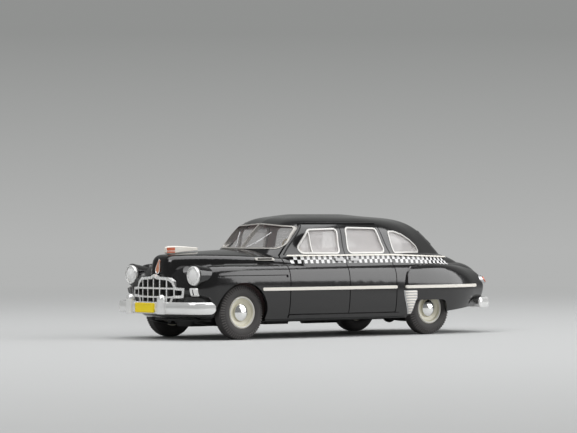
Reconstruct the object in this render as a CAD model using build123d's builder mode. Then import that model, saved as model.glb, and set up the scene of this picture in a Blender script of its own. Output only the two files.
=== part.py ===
"""A collector's scale model of a black 1950s limousine taxi: a hollow cast body with moulded doors,
clear windows, plated trim, a cabin tub, a detailed baseplate and two axles that roll.
Millimetres, +X to the front, +Y to the left, +Z up, origin on the ground under the middle."""

import os
from functools import cache
from math import cos, radians, sin, tan

from build123d import *

# Driving dimensions
LENGTH = 128.6
WHEELBASE = 74.4
FRONT_OVERHANG = 23.0
FRONT_TRACK = 34.0
REAR_TRACK = 34.8
TYRE_DIAMETER = 16.3
TYRE_WIDTH = 4.4
RIM_DIAMETER = 9.7
AXLE_DIAMETER = 1.6
AXLE_PLAY = 0.15
WALL = 1.2
CLEARANCE = 0.12
STEP = 0.03
GLASS_THICKNESS = 0.6
FRAME_WIDTH, SCREEN_FRAME_WIDTH = 0.5, 0.34
TRIM_HEIGHT = 0.3
SILL_Z = 6.0
PLATE_THICKNESS = 1.2
TUB_WALL = 0.8
PLINTH_SCREW_DIAMETER = 1.7
PLINTH_SCREW_DEPTH = 4.0
PLINTH_SCREW_SPACING = 67.0

FRONT_X = LENGTH / 2
REAR_OVERHANG = LENGTH - FRONT_OVERHANG - WHEELBASE
FRONT_AXLE_X = FRONT_X - FRONT_OVERHANG
REAR_AXLE_X = FRONT_AXLE_X - WHEELBASE
AXLE_Z = TYRE_DIAMETER / 2
PLATE_Z = SILL_Z - PLATE_THICKNESS / 2
PLATE_TOP = PLATE_Z + PLATE_THICKNESS
SIDES = (1, -1)
THROUGH = 60.0  # passes the whole body
FLANK_START, FLANK_REACH = 8.0, 18.0  # a cut from the side, from this half width outwards

# Body forms: tables of plan outlines from the lowest to the highest. Places towards the front are
# measured ahead of the front axle, places towards the tail are measured behind the rear axle.
HULL_SHOULDER_AHEAD = 3.7
HULL_MIDDLE_BEHIND = 37.3
HULL_QUARTER_BEHIND = 2.9
HULL_BOW = 2.3
HULL = (
    # z, nose ahead, bow half, corner half, shoulder half, middle half, quarter half, tail half, tail behind
    (SILL_Z, 9.5, 5.0, 15.6, 18.8, 20.8, 20.0, 12.0, 24.0),
    (8.5, 12.6, 5.4, 17.0, 19.8, 21.6, 21.0, 12.6, 27.4),
    (12.0, 14.8, 5.6, 18.0, 20.4, 22.0, 21.5, 12.8, 29.1),
    (16.0, 15.8, 5.8, 18.6, 20.7, 22.1, 21.5, 12.6, 29.5),
    (19.4, 13.9, 5.6, 18.3, 20.4, 21.8, 21.0, 12.0, 27.7),
    (21.3, 12.6, 5.2, 17.3, 19.5, 21.0, 20.0, 11.0, 24.9),
    (22.2, 11.0, 4.8, 16.0, 18.3, 19.7, 18.6, 10.0, 21.9),
    (22.6, 9.0, 4.2, 14.2, 16.7, 18.1, 17.0, 9.0, 18.9),
)
SHOULDER_MIDDLE_BEHIND = 41.3
SHOULDER_QUARTER_BEHIND = 0.9
SHOULDER_BOW = 0.4
SHOULDERS = (
    # z, cowl behind the front axle, cowl half, middle half, quarter half, tail half, tail behind
    (19.5, 15.3, 20.4, 20.8, 19.8, 11.0, 24.9),
    (22.3, 15.3, 20.0, 20.4, 19.2, 10.6, 20.9),
    (24.0, 15.7, 19.5, 20.0, 18.4, 10.0, 16.9),
    (25.0, 16.3, 19.0, 19.6, 17.4, 9.0, 13.4),
    (25.5, 17.3, 17.7, 18.4, 15.4, 7.6, 9.9),
)
CABIN = (
    # z, screen centre and pillar behind the front axle, pillar, middle, quarter and back half, back behind
    (22.6, 9.6, 14.8, 18.6, 19.9, 18.8, 9.2, 16.2),
    (26.0, 12.9, 16.1, 17.9, 19.2, 18.1, 8.8, 13.5),
    (30.5, 17.4, 19.9, 16.7, 17.9, 16.9, 8.0, 8.7),
    (33.6, 20.6, 22.9, 15.6, 16.7, 15.8, 7.2, 4.1),
    (35.2, 23.1, 25.1, 13.8, 15.0, 14.2, 6.4, -0.1),
    (36.3, 26.3, 28.1, 11.4, 12.4, 11.6, 5.0, -6.6),
    (37.0, 30.7, 32.3, 8.0, 8.8, 8.0, 3.4, -16.1),
    (37.45, 35.9, 37.1, 4.4, 4.8, 4.4, 1.8, -25.1),
)
CABIN_MIDDLE_SHARE, CABIN_QUARTER_SHARE = 0.64, 0.29
HOOD_COWL_BEHIND, HOOD_BACK_BEHIND = 27.3, 33.3
HOOD_BACK_SHARE = 0.6
HOOD = (
    # z, nose ahead, nose half, flank ahead, flank half, cowl half
    (17.5, 17.1, 4.8, 4.7, 12.6, 22.0),
    (20.0, 17.2, 4.6, 4.7, 12.2, 21.8),
    (23.0, 16.8, 4.2, 4.2, 11.6, 21.2),
    (26.0, 15.9, 3.8, 3.7, 10.8, 20.4),
    (29.0, 14.7, 3.4, 2.7, 10.0, 19.4),
)
HOOD_TOP = 26.9
HOOD_TOP_BEHIND = 20.3
HOOD_LONG_RADIUS, HOOD_CROSS_RADIUS, HOOD_CREST_RADIUS = 400.0, 52.0, 2.8
HOOD_SLICE_WIDTH, HOOD_SLICE_HEIGHT = 48.0, 22.0
HOOD_REVOLVE_BACK, HOOD_REVOLVE_ARC = 4.0, 15.0

# Hollow between hood and front wing: a cone that widens towards the nose
HOLLOW_REAR = (-15.3, 18.4, 23.4, 0.3)  # ahead of the front axle, half, z, radius
HOLLOW_FRONT = (20.7, 10.6, 23.6, 4.7)

# Lamps
LAMP_HALF, LAMP_Z, LAMP_DIAMETER = 15.5, 19.2, 5.8
POD_FRONT_AHEAD, POD_LENGTH, POD_TAIL_RADIUS = 15.4, 13.4, 1.0
POD_WALL, POD_SPLAY = 0.4, 1.2
RIM_RING_WIDTH, RIM_RING_DEPTH = 0.55, 0.9
LENS_DOME = 1.2
LAMP_SEAT_DEPTH = 6.0
PARKING_LAMP = ((15.2, 13.1), (16.8, 13.1), (16.8, 15.6), (15.2, 15.6))
PARKING_LAMP_HEIGHT, PARKING_LAMP_CORNER = 0.6, 0.3
TAIL_LAMP_HALF, TAIL_LAMP_Z, TAIL_LAMP_DIAMETER, TAIL_LAMP_PROUD = 13.8, 16.7, 2.7, 0.5
TAIL_LENS_DIAMETER, TAIL_LENS_PROUD = 1.9, 0.8
TAIL_LAMP_FROM_BEHIND, TAIL_LAMP_REACH = 20.0, 14.0

# Wheel openings: the rear one is seen from the side, places behind the rear axle
FRONT_ARCH_RADIUS = 8.95
FRONT_ARCH_AHEAD = 0.5
ARCH_INNER_HALF, ARCH_REACH = 13.0, 12.0
REAR_ARCH = ((-10.2, 4.0), (-8.1, 10.9), (5.0, 10.9), (6.6, 4.0))
REAR_ARCH_RADII = (0.8, 2.4)
WELL_RADIUS, WELL_REACH = 8.75, 20.2
TAIL_UNDERSIDE = ((6.0, 4.0), (6.0, 7.2), (32.0, 9.6), (32.0, 4.0))

# Grille, seen from the front: half outline from the crown to the lowest bar
GRILLE_AHEAD = 19.0
GRILLE_OUTLINE = (
    (0, 19.5),
    (1.5, 18.85),
    (6.7, 18.55),
    (8.5, 17.5),
    (9.5, 15.7),
    (12.6, 15.5),
    (12.2, 12.6),
    (8.4, 12.4),
    (7.6, 10.4),
    (0, 10.4),
)
GRILLE_RADIUS, GRILLE_DEPTH, GRILLE_SHEET = 38.0, 1.3, 0.8
GRILLE_BAR, GRILLE_FRAME, GRILLE_PITCH = 0.5, 0.8, 2.95
GRILLE_ROWS = (
    # lower bar z, upper bar z, uprights each side of the middle one
    (12.75, 15.35, 3),
    (15.35, 18.2, 2),
    (10.65, 12.75, 2),
)
GRILLE_CUT_BEHIND, GRILLE_CUT = 9.0, 13.0

# Rear wings: plan outlines from the lowest to the highest
WING_INNER_HALF = 8.0
WING_LIP = 1.1
WING_TAPER_SHARE, WING_TAPER_BULGE = 0.48, 0.6
WINGS = (
    # z, front ahead of the rear axle, front half, axle half, tail half, tail behind
    (SILL_Z, 10.2, 20.6, 20.9, 12.5, 23.0),
    (9.0, 11.6, 21.6, 21.8, 13.5, 26.6),
    (13.0, 12.8, 22.1, 22.3, 14.0, 28.4),
    (17.0, 12.9, 22.1, 22.2, 13.6, 28.0),
    (19.8, 12.0, 21.4, 21.5, 12.6, 24.6),
    (21.4, 10.0, 20.2, 20.4, 11.6, 19.5),
    (22.2, 6.8, 18.6, 18.8, 10.6, 13.0),
)

# Windows, seen from the side: front-door corners behind the front axle, the rest behind the rear axle.
# The screen and the back window are half outlines seen from the front.
FRONT_WINDOW = ((20.6, 25.5), (38.1, 25.4), (38.4, 33.4), (27.4, 33.1))
REAR_WINDOW = ((-33.2, 25.4), (-17.3, 25.4), (-20.2, 33.4), (-33.0, 33.7))
QUARTER_WINDOW = (
    (-14.1, 25.4), (-0.6, 25.4), (-1.4, 27.8), (-4.3, 29.8), (-8.2, 31.5), (-11.8, 32.4), (-15.3, 32.5),
)
SCREEN_PANE = ((15.4, 27.0), (14.2, 33.9), (0, 34.8))
BACK_PANE = ((9.2, 27.9), (8.8, 32.4))
WINDOW_CORNER, QUARTER_CORNER, SCREEN_CORNERS, BACK_CORNER = 1.5, 1.0, (1.8, 1.8, 25.0, 1.8, 1.8), 1.3
VENT_BAR = ((27.2, 34.0), (27.5, 25.0))
FRAME_PROUD, FRAME_DEPTH, GLASS_RECESS = 0.12, 0.95, 0.25

# Bumpers: half plan paths from the tip to the middle, measured from the nearer axle
BUMPER_THICKNESS, BUMPER_HEIGHT = 1.3, 3.6
FRONT_BUMPER_Z, REAR_BUMPER_Z = 7.8, 7.7
FRONT_BUMPER_AHEAD = FRONT_OVERHANG - 1.6
REAR_BUMPER_BEHIND = REAR_OVERHANG - BUMPER_THICKNESS / 2
FRONT_BUMPER = ((11.6, 20.5), (17.8, 19.2), (FRONT_BUMPER_AHEAD, 7.5), (FRONT_BUMPER_AHEAD, 0))
REAR_BUMPER = ((22.6, 19.9), (28.0, 17.8), (REAR_BUMPER_BEHIND, 7.5), (REAR_BUMPER_BEHIND, 0))
GUARD_HALF, GUARD_WIDTH, GUARD_HEIGHT, GUARD_DEPTH, GUARD_EDGE, GUARD_CROWN = 7.7, 2.5, 5.3, 2.4, 0.9, 0.75
BRACKET_HALF, BRACKET_WIDTH, BRACKET_HEIGHT, BRACKET_LENGTH = 8.6, 1.6, 1.2, 7.0
FRONT_BRACKET_Z, REAR_BRACKET_Z = 9.2, 10.1
NUMBER_PLATE_WIDTH, NUMBER_PLATE_HEIGHT, NUMBER_PLATE_THICKNESS = 9.2, 2.9, 0.35

# Hood trim: a spear on a thin fin, a drop-shaped emblem and the slim side vents
ORNAMENT_SIDE = ((14.3, 25.5), (14.7, 27.3), (13.6, 27.95), (2.6, 27.5), (2.4, 26.2))
ORNAMENT_EDGE = 0.35
ORNAMENT_PLAN = ((15.2, 0.4), (13.4, 0.85), (2.4, 0.45))
ORNAMENT_FIN = ((12.4, 22.5), (13.4, 26.4), (3.2, 26.6), (3.2, 22.5))
ORNAMENT_WIDTH, ORNAMENT_FIN_WIDTH = 1.7, 0.6
EMBLEM_TOP, EMBLEM_BOTTOM, EMBLEM_RADIUS, EMBLEM_POINT, EMBLEM_HEIGHT = 23.8, 19.85, 1.0, 0.2, 0.35
EMBLEM_FROM_AHEAD, EMBLEM_REACH = 8.0, 14.0
VENT_BEHIND, VENT_LENGTH, VENT_HEIGHT, VENT_Z = 10.9, 6.1, 0.85, 24.0

# Engraved lines
LINE_WIDTH, LINE_DEPTH = 0.3, 0.35
DOOR_FRONT_BEHIND, DOOR_MIDDLE_BEHIND = 16.7, 39.7
DOOR_REAR_AHEAD = 15.7
DOOR_FRONT_RAKE, DOOR_REAR_RAKE = 9.4, 3.6
DOOR_BOTTOM_Z, DOOR_TOP_Z, BELT_Z = 7.3, 34.5, 25.0
SWAGE_WIDTH, SWAGE_DEPTH, SWAGE_Z, SWAGE_AHEAD, SWAGE_GAP = 0.8, 0.4, 18.9, 9.6, 0.8
BOOT_HALF, BOOT_FRONT_BEHIND, BOOT_LOW_Z = 8.6, 14.5, 12.2
SILL_STEP, SILL_STEP_TOP, SILL_STEP_REAR_AHEAD = 0.35, 7.05, 13.6

# Side trim
STRIP_Z, STRIP_HEIGHT = 15.05, 0.95
STRIP_FRONT_BEHIND, STRIP_WING_AHEAD, STRIP_TAIL_BEHIND = 6.2, 12.3, 21.2
BELT_HEIGHT, BELT_TAIL_BEHIND, BELT_TAIL_DROP = 0.42, 12.0, 0.9
HANDLE_Z, HANDLE_LENGTH, HANDLE_GAP, HANDLE_HEIGHT, HANDLE_PROUD = 23.7, 3.6, 3.0, 0.8, 0.6
SHIELD = ((-14.0, 13.9), (-7.9, 13.9), (-7.8, 11.3), (-8.3, 10.6), (-9.5, 6.5), (-14.0, 6.5))
SHIELD_CORNER = 0.4
TRUNK_HANDLE_Z, TRUNK_HANDLE_LENGTH = 18.4, 4.2
TRUNK_HANDLE_FROM_BEHIND, TRUNK_HANDLE_REACH = 20.0, 14.0

# Cabin
TUB_FLOOR, TUB_CORNER = 0.8, 1.5
TUB_HALF, TUB_TOP = 17.8, 21.6
TUB_FRONT_BEHIND, TUB_REAR_AHEAD = 20.5, 9.5
SHELF_REAR_BEHIND, SHELF_Z, SHELF_HALF, SHELF_LAP = 8.0, 23.2, 12.0, 4.0
SEAT_HALF, REAR_SEAT_HALF = 16.6, 13.6
SEAT_SIDE = ((0, 0), (0, 5.8), (-8.6, 5.2), (-9.8, 19.6), (-12.4, 19.8), (-12.6, 0))
SEAT_ROLL = 1.1
FRONT_SEAT_BEHIND = 29.9
DASH_SIDE = ((0, 0), (0, 6.0), (-4.4, 5.4), (-5.0, 0.6))
DASH_BEHIND, DASH_Z, DASH_HALF, DASH_EDGE = 21.3, 20.4, 15.2, 0.6
WHEEL_BEHIND, WHEEL_HALF, WHEEL_Z, WHEEL_RADIUS, WHEEL_TILT = 28.0, 8.4, 25.8, 4.4, 24.0
COLUMN_LENGTH, COLUMN_DIAMETER, HUB_DIAMETER, SPOKE_WIDTH = 4.5, 0.9, 1.6, 0.5
WHEEL_GRIP = 0.28

# Baseplate
BEARING_HALF, BEARING_WIDTH, BEARING_LENGTH, BEARING_ROOF = 9.0, 3.0, 5.0, 1.1
WELL_LENGTH, WELL_INNER_HALF = 18.6, 13.9
RAIL_HALF, RAIL_WIDTH, RAIL_HEIGHT = 6.6, 1.6, 0.8
PIPE_HALF, PIPE_DIAMETER, PIPE_DROP, PIPE_REAR_AHEAD = 3.4, 1.2, 0.2, 1.1
MUFFLER_DIAMETER, MUFFLER_LENGTH, MUFFLER_AHEAD = 2.6, 14.0, 26.0
SHAFT_DIAMETER = 1.5
SUMP_LENGTH, SUMP_WIDTH, SUMP_DEPTH, SUMP_CORNER, SUMP_TAPER, SUMP_AHEAD = 15.0, 8.0, 1.7, 1.2, 12.0, 7.95
GEARBOX_LENGTH, GEARBOX_WIDTH, GEARBOX_BEHIND = 10.0, 5.0, 22.0
DIFF_DIAMETER, AXLE_TUBE_DIAMETER, AXLE_TUBE_LENGTH = 4.4, 2.4, 26.8
SPRING_HALF, SPRING_WIDTH, SPRING_SPAN, SPRING_DROP, SPRING_LEAF, SPRING_EYE = 10.6, 1.5, 24.0, 1.6, 0.7, 2.0
BOSS_DIAMETER, BOSS_HEIGHT, FRONT_BOSS_BEHIND = 5.0, 4.8, 13.3
TAIL_FLOOR = ((8.6, 5.4), (12.0, 7.0), (23.4, 8.1), (23.4, 9.3), (12.0, 8.2), (8.6, 6.6))
TAIL_FLOOR_HALF = 10.4

# Wheels
TREAD_WIDTH, BEAD_WIDTH, SHOULDER_DROP = 3.1, 3.6, 0.3
DISC_PROFILE = (
    # out from the tyre's middle, radius share of the rim
    (-1.2, 0.0), (-1.2, 1.0), (1.75, 1.0), (1.75, 0.87), (1.2, 0.8), (0.9, 0.58), (1.3, 0.5), (1.3, 0.0),
)
CAP_DIAMETER, CAP_RIM, CAP_DOME = 5.0, 0.15, 0.95


def ahead(distance):
    """X of a place measured ahead of the front axle."""
    return FRONT_AXLE_X + distance


def behind(distance):
    """X of a place measured behind the rear axle."""
    return REAR_AXLE_X - distance


def rounded_path(*points, share=0.47):
    """Straight runs through the points, each corner rounded as far as its shorter run allows."""
    spots = [Vector(*point) for point in points]
    radii = []
    for before, corner, after in zip(spots, spots[1:], spots[2:]):
        turn = radians((corner - before).get_angle(after - corner))
        shorter = min((corner - before).length, (after - corner).length)
        radii.append(share * shorter / tan(turn / 2))
    return FilletPolyline(*spots, radius=radii)


def stacked(outlines):
    """A solid lofted through half outlines, mirrored to the right side, stacked by height."""
    with BuildPart() as form:
        for z, points in outlines:
            with BuildSketch(Plane.XY.offset(z)):
                with BuildLine():
                    left = rounded_path(*points)
                    mirror(left, about=Plane.XZ)
                make_face()
        loft()
    return form.part


def lowered(z, table, inset):
    """Height of a row of a table when the form shrinks by inset: its lowest row stays."""
    low, high = table[0][0], table[-1][0]
    return z - inset * (z - low) / (high - low)


def hull_points(row, inset):
    """Half plan outline of the lower body at one height."""
    _, nose, bow, corner, shoulder, middle, quarter, tail_half, tail = row
    return (
        (ahead(nose + HULL_BOW) - inset, 0),
        (ahead(nose + HULL_BOW) - inset, bow),
        (ahead(nose) - inset, corner - inset),
        (ahead(HULL_SHOULDER_AHEAD), shoulder - inset),
        (ahead(-HULL_MIDDLE_BEHIND), middle - inset),
        (behind(HULL_QUARTER_BEHIND), quarter - inset),
        (behind(tail) + inset, tail_half - inset),
        (behind(tail) + inset, 0),
    )


@cache
def hull(inset=0.0):
    """Lower body with the front wings and doors."""
    return stacked([(lowered(row[0], HULL, inset), hull_points(row, inset)) for row in HULL])


@cache
def shoulders(inset=0.0):
    """Band under the windows, running back into the tail deck."""
    outlines = []
    for z, cowl, cowl_half, middle, quarter, tail_half, tail in SHOULDERS:
        points = (
            (ahead(SHOULDER_BOW - cowl) - inset, 0),
            (ahead(-cowl) - inset, cowl_half - inset),
            (ahead(-SHOULDER_MIDDLE_BEHIND), middle - inset),
            (behind(SHOULDER_QUARTER_BEHIND), quarter - inset),
            (behind(tail) + inset, tail_half - inset),
            (behind(tail) + inset, 0),
        )
        outlines.append((lowered(z, SHOULDERS, inset), points))
    return stacked(outlines)


@cache
def cabin(inset=0.0):
    """Window band and roof, with a screen that comes to a point in the middle."""
    outlines = []
    for z, screen, pillar, pillar_half, middle, quarter, back_half, back in CABIN:
        back_x = behind(back)
        reach = ahead(-screen) - back_x
        points = (
            (ahead(-screen) - inset, 0),
            (ahead(-pillar) - inset, pillar_half - inset),
            (back_x + CABIN_MIDDLE_SHARE * reach, middle - inset),
            (back_x + CABIN_QUARTER_SHARE * reach, quarter - inset),
            (back_x + inset, back_half - inset / 2),
            (back_x + inset, 0),
        )
        outlines.append((lowered(z, CABIN, inset), points))
    return stacked(outlines)


@cache
def hood(inset=0.0):
    """Hood with upright flanks, a crown curved both ways and a soft crest between them."""
    outlines = []
    for z, nose, nose_half, flank, flank_half, cowl in HOOD:
        points = (
            (ahead(nose) - inset, 0),
            (ahead(nose) - inset, nose_half - inset / 3),
            (ahead(flank) - inset, flank_half - inset),
            (ahead(-HOOD_COWL_BEHIND), cowl - inset),
            (ahead(-HOOD_BACK_BEHIND), HOOD_BACK_SHARE * cowl - inset),
            (ahead(-HOOD_BACK_BEHIND), 0),
        )
        outlines.append((z, points))
    top_x = ahead(-HOOD_TOP_BEHIND)
    axle = Axis((top_x, 0, HOOD_TOP - HOOD_LONG_RADIUS), (0, 1, 0))
    with BuildPart() as form:
        add(stacked(outlines))
        with BuildSketch(Plane.YZ.offset(top_x), mode=Mode.PRIVATE) as crown:
            with Locations((0, HOOD_TOP - inset - HOOD_CROSS_RADIUS)):
                Circle(HOOD_CROSS_RADIUS)
            with Locations((0, HOOD_TOP + 2 * WALL)):
                Rectangle(
                    HOOD_SLICE_WIDTH, HOOD_SLICE_HEIGHT, align=(Align.CENTER, Align.MAX), mode=Mode.INTERSECT
                )
        slice_back = crown.sketch.rotate(axle, -HOOD_REVOLVE_BACK)
        revolve(slice_back, axis=axle, revolution_arc=HOOD_REVOLVE_ARC, mode=Mode.INTERSECT)
        top = form.faces().filter_by(GeomType.TORUS).sort_by(SortBy.AREA)[-1]
        fillet(top.edges(), HOOD_CREST_RADIUS)
    return form.part


@cache
def hollows(outset=0.0):
    """The two hollows between the hood and the front wings."""
    rear_ahead, rear_half, rear_z, rear_radius = HOLLOW_REAR
    front_ahead, front_half, front_z, front_radius = HOLLOW_FRONT
    with BuildPart() as form:
        for side in SIDES:
            start = Vector(ahead(rear_ahead), side * rear_half, rear_z)
            end = Vector(ahead(front_ahead), side * front_half, front_z)
            with BuildSketch(Plane(start, z_dir=end - start)):
                Circle(rear_radius + outset)
            with BuildSketch(Plane(end, z_dir=end - start)):
                Circle(front_radius + outset)
            loft()
    return form.part


@cache
def wings(inset=0.0):
    """The two rear wings, which stand a little proud of the doors."""
    with BuildPart() as form:
        for z, front, front_half, axle_half, tail_half, tail in WINGS:
            front_x, tail_x = behind(-front) - inset, behind(tail) + inset
            taper_x = behind(WING_TAPER_SHARE * tail)
            taper_half = axle_half + WING_TAPER_SHARE**2 * (tail_half - axle_half) + WING_TAPER_BULGE
            with BuildSketch(Plane.XY.offset(z)):
                with BuildLine():
                    edge = rounded_path(
                        (front_x, WING_INNER_HALF),
                        (front_x, front_half - WING_LIP - inset),
                        (front_x - WING_LIP, front_half - inset),
                        (REAR_AXLE_X, axle_half - inset),
                        (taper_x, taper_half - inset),
                        (tail_x, tail_half - inset),
                        (tail_x, WING_INNER_HALF),
                    )
                    Line(edge @ 1, edge @ 0)
                make_face()
        loft()
        mirror(about=Plane.XZ)
    return form.part


def side_prism(corner, points, margin=0.0):
    """A left-hand side cut-out: an outline seen from the side, pushed through the wall."""
    with BuildPart() as form:
        with BuildSketch(Plane.XZ.offset(-FLANK_START)):
            with BuildLine():
                FilletPolyline(*points, radius=corner, close=True)
            make_face()
            if margin:
                offset(amount=margin)
        extrude(amount=-FLANK_REACH)
    return form.part


def end_prism(corner, points, reach, margin=0.0):
    """A cut-out seen from the front, pushed along X."""
    with BuildPart() as form:
        with BuildSketch(Plane.YZ.offset(reach[0])):
            with BuildLine():
                FilletPolyline(*points, radius=corner, close=True)
            make_face()
            if margin:
                offset(amount=margin)
        extrude(amount=reach[1] - reach[0])
    return form.part


def both_halves(points):
    """A closed outline seen from the front, from its left half."""
    return [*points, *[(-half, z) for half, z in reversed(points) if half]]


def side_slot(x, z, length, height):
    """A round-ended bar seen from the left, pushed through the side."""
    with BuildPart() as bar:
        with BuildSketch(Plane.XZ.offset(-FLANK_START)):
            with Locations((x, z)):
                SlotOverall(length, height)
        extrude(amount=-FLANK_REACH)
    return bar.part


def side_lines(lines, width):
    """Bars of one width along lines seen from the left, pushed through the side."""
    with BuildPart() as bars:
        for line in lines:
            with BuildSketch(Plane.XZ.offset(-FLANK_START)):
                with BuildLine():
                    path = Polyline(*line)
                trace(path, width)
            extrude(amount=-FLANK_REACH)
    return bars.part


def engraved(tool, depth, *forms):
    """Grooves of one depth in the skin of the body forms, cut to the outline of the tool."""
    with BuildPart() as grooves:
        add(tool)
        for form in forms:
            add(form(depth), mode=Mode.SUBTRACT)
    return grooves.part


def trimmed(tool, form, thickness=TRIM_HEIGHT):
    """A thin piece that lies on a body form, cut to the outline of the tool."""
    with BuildPart() as trim:
        add(tool)
        add(form(-thickness), mode=Mode.INTERSECT)
        add(form(), mode=Mode.SUBTRACT)
    return trim.part


def clear_of(part, *forms):
    """A piece cut back where it would run into other body forms."""
    with BuildPart() as cut:
        add(part)
        for form in forms:
            add(form(), mode=Mode.SUBTRACT)
    return cut.part


def both_sides(part):
    """The left piece with its mirror image on the right."""
    with BuildPart() as pair:
        add(part)
        mirror(about=Plane.XZ)
    return pair.part


def dome(radius, rim_height, crown_height):
    """A round lens or cap: a short cylinder with a domed end, standing on its local Z."""
    rise = crown_height - rim_height
    dome_radius = (radius**2 + rise**2) / (2 * rise)
    with BuildPart() as lens:
        with BuildSketch(Plane.XZ):
            with BuildLine():
                Polyline((0, crown_height), (0, 0), (radius, 0), (radius, rim_height))
                RadiusArc((radius, rim_height), (0, crown_height), -dome_radius)
            make_face()
        revolve(axis=Axis.Z)
    return lens.part


def write(name, part):
    """Labels a piece and writes it as its own file."""
    part.label = name
    export_step(part, f"parts/{name}.step")


def write_pair(name, part):
    """Writes a left piece and its mirror image."""
    write(f"{name}_left", part)
    write(f"{name}_right", part.mirror(Plane.XZ))


os.makedirs("parts", exist_ok=True)

# Window outlines: corner radius, points and, for the ends of the cabin, the reach of the cut
side_windows = (
    (WINDOW_CORNER, [(ahead(-back), z) for back, z in FRONT_WINDOW]),
    (WINDOW_CORNER, [(behind(back), z) for back, z in REAR_WINDOW]),
    (QUARTER_CORNER, [(behind(back), z) for back, z in QUARTER_WINDOW]),
)
screen_reach = (ahead(-HOOD_COWL_BEHIND), ahead(-CABIN[0][1]) + WALL)
back_reach = (behind(CABIN[0][7]), behind(CABIN[3][7]) + 2 * WALL)
screen = (SCREEN_CORNERS, both_halves(SCREEN_PANE), screen_reach)
back_window = (BACK_CORNER, both_halves(BACK_PANE), back_reach)

# Engraved lines: the doors and the fold along the front wing from the left, the boot lid
door_front, door_middle = ahead(-DOOR_FRONT_BEHIND), ahead(-DOOR_MIDDLE_BEHIND)
door_rear = behind(-DOOR_REAR_AHEAD)
DOOR_LINES = (
    (
        (door_front, DOOR_BOTTOM_Z),
        (door_front, BELT_Z),
        (door_front - DOOR_FRONT_RAKE, DOOR_TOP_Z),
        (door_rear + DOOR_REAR_RAKE, DOOR_TOP_Z),
        (door_rear, BELT_Z),
        (door_rear, DOOR_BOTTOM_Z),
        (door_front, DOOR_BOTTOM_Z),
    ),
    ((door_middle, DOOR_BOTTOM_Z), (door_middle, DOOR_TOP_Z)),
)
SWAGE_LINE = ((ahead(SWAGE_AHEAD), SWAGE_Z), (door_front + SWAGE_GAP, SWAGE_Z))
door_lines = engraved(both_sides(side_lines(DOOR_LINES, LINE_WIDTH)), LINE_DEPTH, hull, shoulders, cabin)
swage_lines = engraved(both_sides(side_lines((SWAGE_LINE,), SWAGE_WIDTH)), SWAGE_DEPTH, hull)

with BuildPart() as boot_tool:
    with Locations(*[(behind(BOOT_FRONT_BEHIND), side * BOOT_HALF, BOOT_LOW_Z) for side in SIDES]):
        Box(REAR_OVERHANG, LINE_WIDTH, CABIN[0][0], align=(Align.MAX, Align.CENTER, Align.MIN))
    with Locations((behind(BOOT_FRONT_BEHIND), 0, BOOT_LOW_Z)):
        Box(REAR_OVERHANG, 2 * BOOT_HALF, LINE_WIDTH, align=(Align.MAX, Align.CENTER, Align.CENTER))
boot_lines = engraved(boot_tool.part, LINE_DEPTH, hull, shoulders, cabin, wings)

# Body shell: the joined forms, hollowed, with wheel openings, windows, grille, lamp seats and lines
sill_tool = side_prism(
    LINE_DEPTH,
    [
        (door_front, SILL_Z),
        (door_front, SILL_STEP_TOP),
        (behind(-SILL_STEP_REAR_AHEAD), SILL_STEP_TOP),
        (behind(-SILL_STEP_REAR_AHEAD), SILL_Z),
    ],
)
with BuildPart() as outer:
    add(hull())
    add(hollows(), mode=Mode.SUBTRACT)
    for side in SIDES:
        pod_front = (ahead(POD_FRONT_AHEAD), side * LAMP_HALF, LAMP_Z)
        pod_tail = (ahead(POD_FRONT_AHEAD - POD_LENGTH), side * (LAMP_HALF + POD_SPLAY), LAMP_Z)
        with BuildSketch(Plane(pod_front, z_dir=(-1, 0, 0))):
            Circle(LAMP_DIAMETER / 2 + POD_WALL)
        with BuildSketch(Plane(pod_tail, z_dir=(-1, 0, 0))):
            Circle(POD_TAIL_RADIUS)
        loft()
    for form in (shoulders, cabin, hood, wings):
        add(form())
    add(both_sides(trimmed(sill_tool, hull, SILL_STEP)))

with BuildPart() as cavity:
    add(hull(WALL))
    add(hollows(WALL), mode=Mode.SUBTRACT)
    for form in (shoulders, cabin, hood):
        add(form(WALL))

with BuildPart() as left_openings:
    for outline in side_windows:
        add(side_prism(*outline))

with BuildPart() as grille_opening:
    with BuildSketch(Plane.YZ.offset(ahead(GRILLE_AHEAD - GRILLE_CUT_BEHIND))):
        with BuildLine():
            half = Polyline(*GRILLE_OUTLINE)
            mirror(half, about=Plane.YZ)
        make_face()
        offset(amount=CLEARANCE)
    extrude(amount=GRILLE_CUT)

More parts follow.
